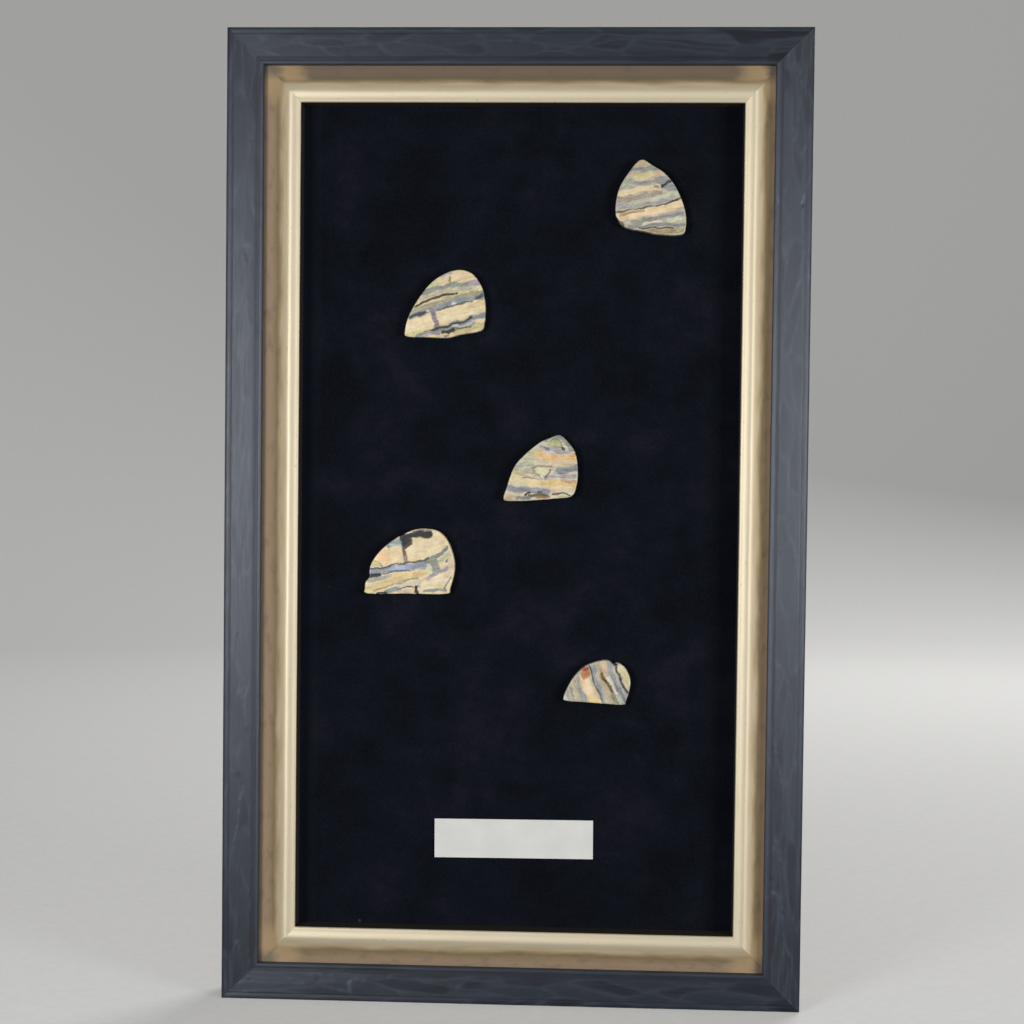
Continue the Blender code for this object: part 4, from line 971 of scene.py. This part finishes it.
def finely_divided(node):
    """A closed, even and fine mesh of a CAD node, whose own mesh stays as it is."""
    bm = bmesh.new()
    bm.from_mesh(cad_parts[node].data)
    bmesh.ops.remove_doubles(bm, verts=bm.verts, dist=1e-6)
    rough = bpy.data.meshes.new(node + "_rough")
    bm.to_mesh(rough)
    bm.free()
    helper = bpy.data.objects.new(node + "_rough", rough)
    bpy.context.scene.collection.objects.link(helper)
    remesh = helper.modifiers.new("even", "REMESH")
    remesh.mode = "VOXEL"
    remesh.voxel_size = SLICE_VOXEL * MM
    shown = helper.evaluated_get(bpy.context.evaluated_depsgraph_get())
    bm = bmesh.new()
    bm.from_mesh(shown.data)
    bpy.data.objects.remove(helper)
    bmesh.ops.smooth_vert(bm, verts=bm.verts, factor=0.5, use_axis_x=True, use_axis_y=True,
                          use_axis_z=True)
    return mesh_from(bm, node + "_fine")


def painted_bands(places, warp, ground, marks):
    """Linear colour of each place, and how much dark cracks cover it."""
    colours = np.tile(linear(ground)[:3], (len(places), 1))
    cracks = np.zeros(len(places))
    for code, half_width, line in marks:
        shade = np.array(linear(code)[:3])
        wide = half_width * (1 + 0.35 * warp)
        soft = 0.32 + 0.42 * half_width
        cover = np.clip((wide - distance_to(places, smooth_line(line))) / soft + 0.5, 0, 1)
        cover = cover * cover * (3 - 2 * cover)
        colours += (shade - colours) * cover[:, None]
        if shade.mean() < CRACK_SHADE:
            cracks = np.maximum(cracks, cover)
    return colours, cracks


def tusk_slice(word, centre, strata, ground, marks, seed):
    """A polished slice with its mineral bands painted on a fine mesh and its cracks sunk."""
    mesh = finely_divided("tusk_slice_" + word)
    places = points_of(mesh) / MM
    flat = places[:, (0, 2)] - (centre[0], centre[1] + CENTRE.z / MM)
    normals = normals_of(mesh)
    shift = np.empty((len(flat), 3))
    for i, (x, z) in enumerate(flat):
        broad = noise.noise_vector(Vector((x / 4, z / 4, seed)))
        fine = noise.noise_vector(Vector((x / 1.1, z / 1.1, seed + 3)))
        shift[i] = 0.9 * broad + 0.28 * fine
    warped = flat + shift[:, :2]
    colours, cracks = painted_bands(warped, shift[:, 2], ground, marks)
    colours *= 1 + 0.14 * shift[:, :1]
    facing = np.clip(-normals[:, 1] * 2 - 0.6, 0, 1)
    worn = 0.10 * np.abs(shift[:, 0]) + 0.06 * np.abs(shift[:, 2])
    sideways = np.clip(1 - np.abs(normals[:, 1]) * 1.6, 0, 1)
    places -= normals * (sideways * worn)[:, None]
    places[:, 1] += facing * (0.11 * cracks + 0.015 * (1 + shift[:, 1]))
    set_points(mesh, places * MM)
    angle = math.radians(strata)
    set_uv(mesh, "strata", flat[:, 1] * math.cos(angle) - flat[:, 0] * math.sin(angle),
           flat[:, 0] * math.cos(angle) + flat[:, 1] * math.sin(angle) + 100 * seed)
    layer = mesh.attributes.new("bands", "FLOAT_COLOR", "POINT")
    layer.data.foreach_set("color", np.column_stack((colours, np.ones(len(colours)))).ravel())
    return mesh


def bare_label():
    """A plain card, bowed a little and lifting at two corners."""
    mesh = mesh_from(slab(LABEL_WIDTH, LABEL_HEIGHT, LABEL_THICKNESS, LABEL_BACK_V, 48, 12),
                     "label")
    places = points_of(mesh) / MM
    along, up = places[:, 0] / (LABEL_WIDTH / 2), places[:, 2] / (LABEL_HEIGHT / 2)
    places[:, 1] -= 0.12 * along ** 2 + 0.16 * np.clip(along * up, 0, 1) ** 2
    set_points(mesh, places * MM)
    mesh.transform(Matrix.Translation(CENTRE + Vector((LABEL_X, 0, LABEL_Z)) * MM)
                   @ Matrix.Rotation(LABEL_TURN, 4, "Y"))
    return mesh


# ---------------------------------------------------------------- studio


def build_studio():
    """A pale seamless floor that curves up all round, soft lights on all sides and a soft sky."""
    floor_z = (8.0 - HEIGHT) * MM
    bm = bmesh.new()
    rise = arc(1.7, floor_z + 1.2, 1.2, -90, 0, 12)
    profile = [(0.0, floor_z), (0.8, floor_z), *rise, (2.9, floor_z + 2.6)]
    verts = [bm.verts.new((r, 0, z)) for r, z in profile]
    edges = [bm.edges.new(pair) for pair in zip(verts, verts[1:])]
    bmesh.ops.spin(bm, geom=verts + edges, axis=(0, 0, 1), cent=(0, 0, 0), angle=2 * math.pi,
                   steps=96, use_merge=True)
    bmesh.ops.remove_doubles(bm, verts=bm.verts, dist=1e-5)
    bmesh.ops.recalc_face_normals(bm, faces=bm.faces)
    bmesh.ops.reverse_faces(bm, faces=bm.faces)
    paper = mesh_from(bm, "seamless_paper", 60)
    paper.materials.append(studio_paper())
    backdrop = bpy.data.objects.new("seamless_paper", paper)
    bpy.context.scene.collection.objects.link(backdrop)
    # The paper's glow stays on the paper and puts no light on the object.
    backdrop.visible_diffuse = backdrop.visible_glossy = backdrop.visible_shadow = False

    for word, place, size, power, tint in LIGHTS:
        light = bpy.data.lights.new(word, "AREA")
        light.shape = "RECTANGLE"
        light.size, light.size_y = size
        light.energy = power
        light.color = tint
        lamp = bpy.data.objects.new(word, light)
        lamp.location = place
        aim = Vector((0, 0, CENTRE.z)) - Vector(place)
        lamp.rotation_euler = aim.to_track_quat("-Z", "Y").to_euler()
        bpy.context.scene.collection.objects.link(lamp)

    world = bpy.data.worlds.new("soft_sky")
    world.use_nodes = True
    world.node_tree.nodes["Background"].inputs["Color"].default_value = linear("#eef1f5")
    world.node_tree.nodes["Background"].inputs["Strength"].default_value = SKY_STRENGTH
    bpy.context.scene.world = world
    bpy.context.scene.view_settings.view_transform = "Standard"


def build_camera():
    """The photographer's camera: level, square on, a little right of centre."""
    lens = bpy.data.cameras.new("camera")
    lens.sensor_width = 36.0
    lens.lens = 66.8
    lens.shift_x, lens.shift_y = 0.00734, 0.01382
    camera = bpy.data.objects.new("camera", lens)
    upright = Matrix.Rotation(math.pi / 2, 4, "X")
    tilt = Euler([math.radians(a) for a in (-1.844, 2.905, 0.633)]).to_matrix().to_4x4()
    camera.matrix_world = Matrix.Translation((0.03947, -0.88913, -0.18945)) @ upright @ tilt
    bpy.context.scene.collection.objects.link(camera)
    bpy.context.scene.camera = camera


# ---------------------------------------------------------------- the whole object


def main():
    charcoal, gilding, pine = charcoal_scraped_wood(), antiqued_gilding(), raw_pine()
    for seed, side in enumerate(SIDES, 1):
        word = side[0]
        make_piece(f"scraped_rail_{word}", scraped_rail(side, seed, word in ("top", "bottom")),
                   "charcoal_wood", (charcoal, pine), f"outer_rail_{word}")
        make_piece(f"gilded_slip_{word}", gilded_slip(side, seed, SLIP_GLAZE_AND_SHADE[word]), "gilded_wood",
                   (gilding, pine), f"gold_slip_{word}")

    velvet = make_piece("stretched_velvet", stretched_velvet(), "velvet", (black_velvet(),),
                        "velvet_panel")

    ivory = polished_ivory()
    for seed, (word, (centre, strata, ground, marks)) in enumerate(SLICES.items()):
        make_piece(f"polished_slice_{word}", tusk_slice(word, centre, strata, ground, marks, seed),
                   "fossil_ivory", (ivory,), f"tusk_slice_{word}")

    make_piece("bare_label", bare_label(), "card", (card_stock(),), "label_card")

    steel = zinc_steel()
    finishes = {"mount_board": grey_board(), "backing_board": hardboard(),
                "sawtooth_hanger": steel, "hanger_nail": steel, "framers_point": steel,
                "wall_bumper": pad_rubber()}
    for start, material in finishes.items():
        for name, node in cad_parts.items():
            if name.startswith(start):
                node.data.materials.clear()
                node.data.materials.append(material)

    build_studio()
    build_camera()


main()
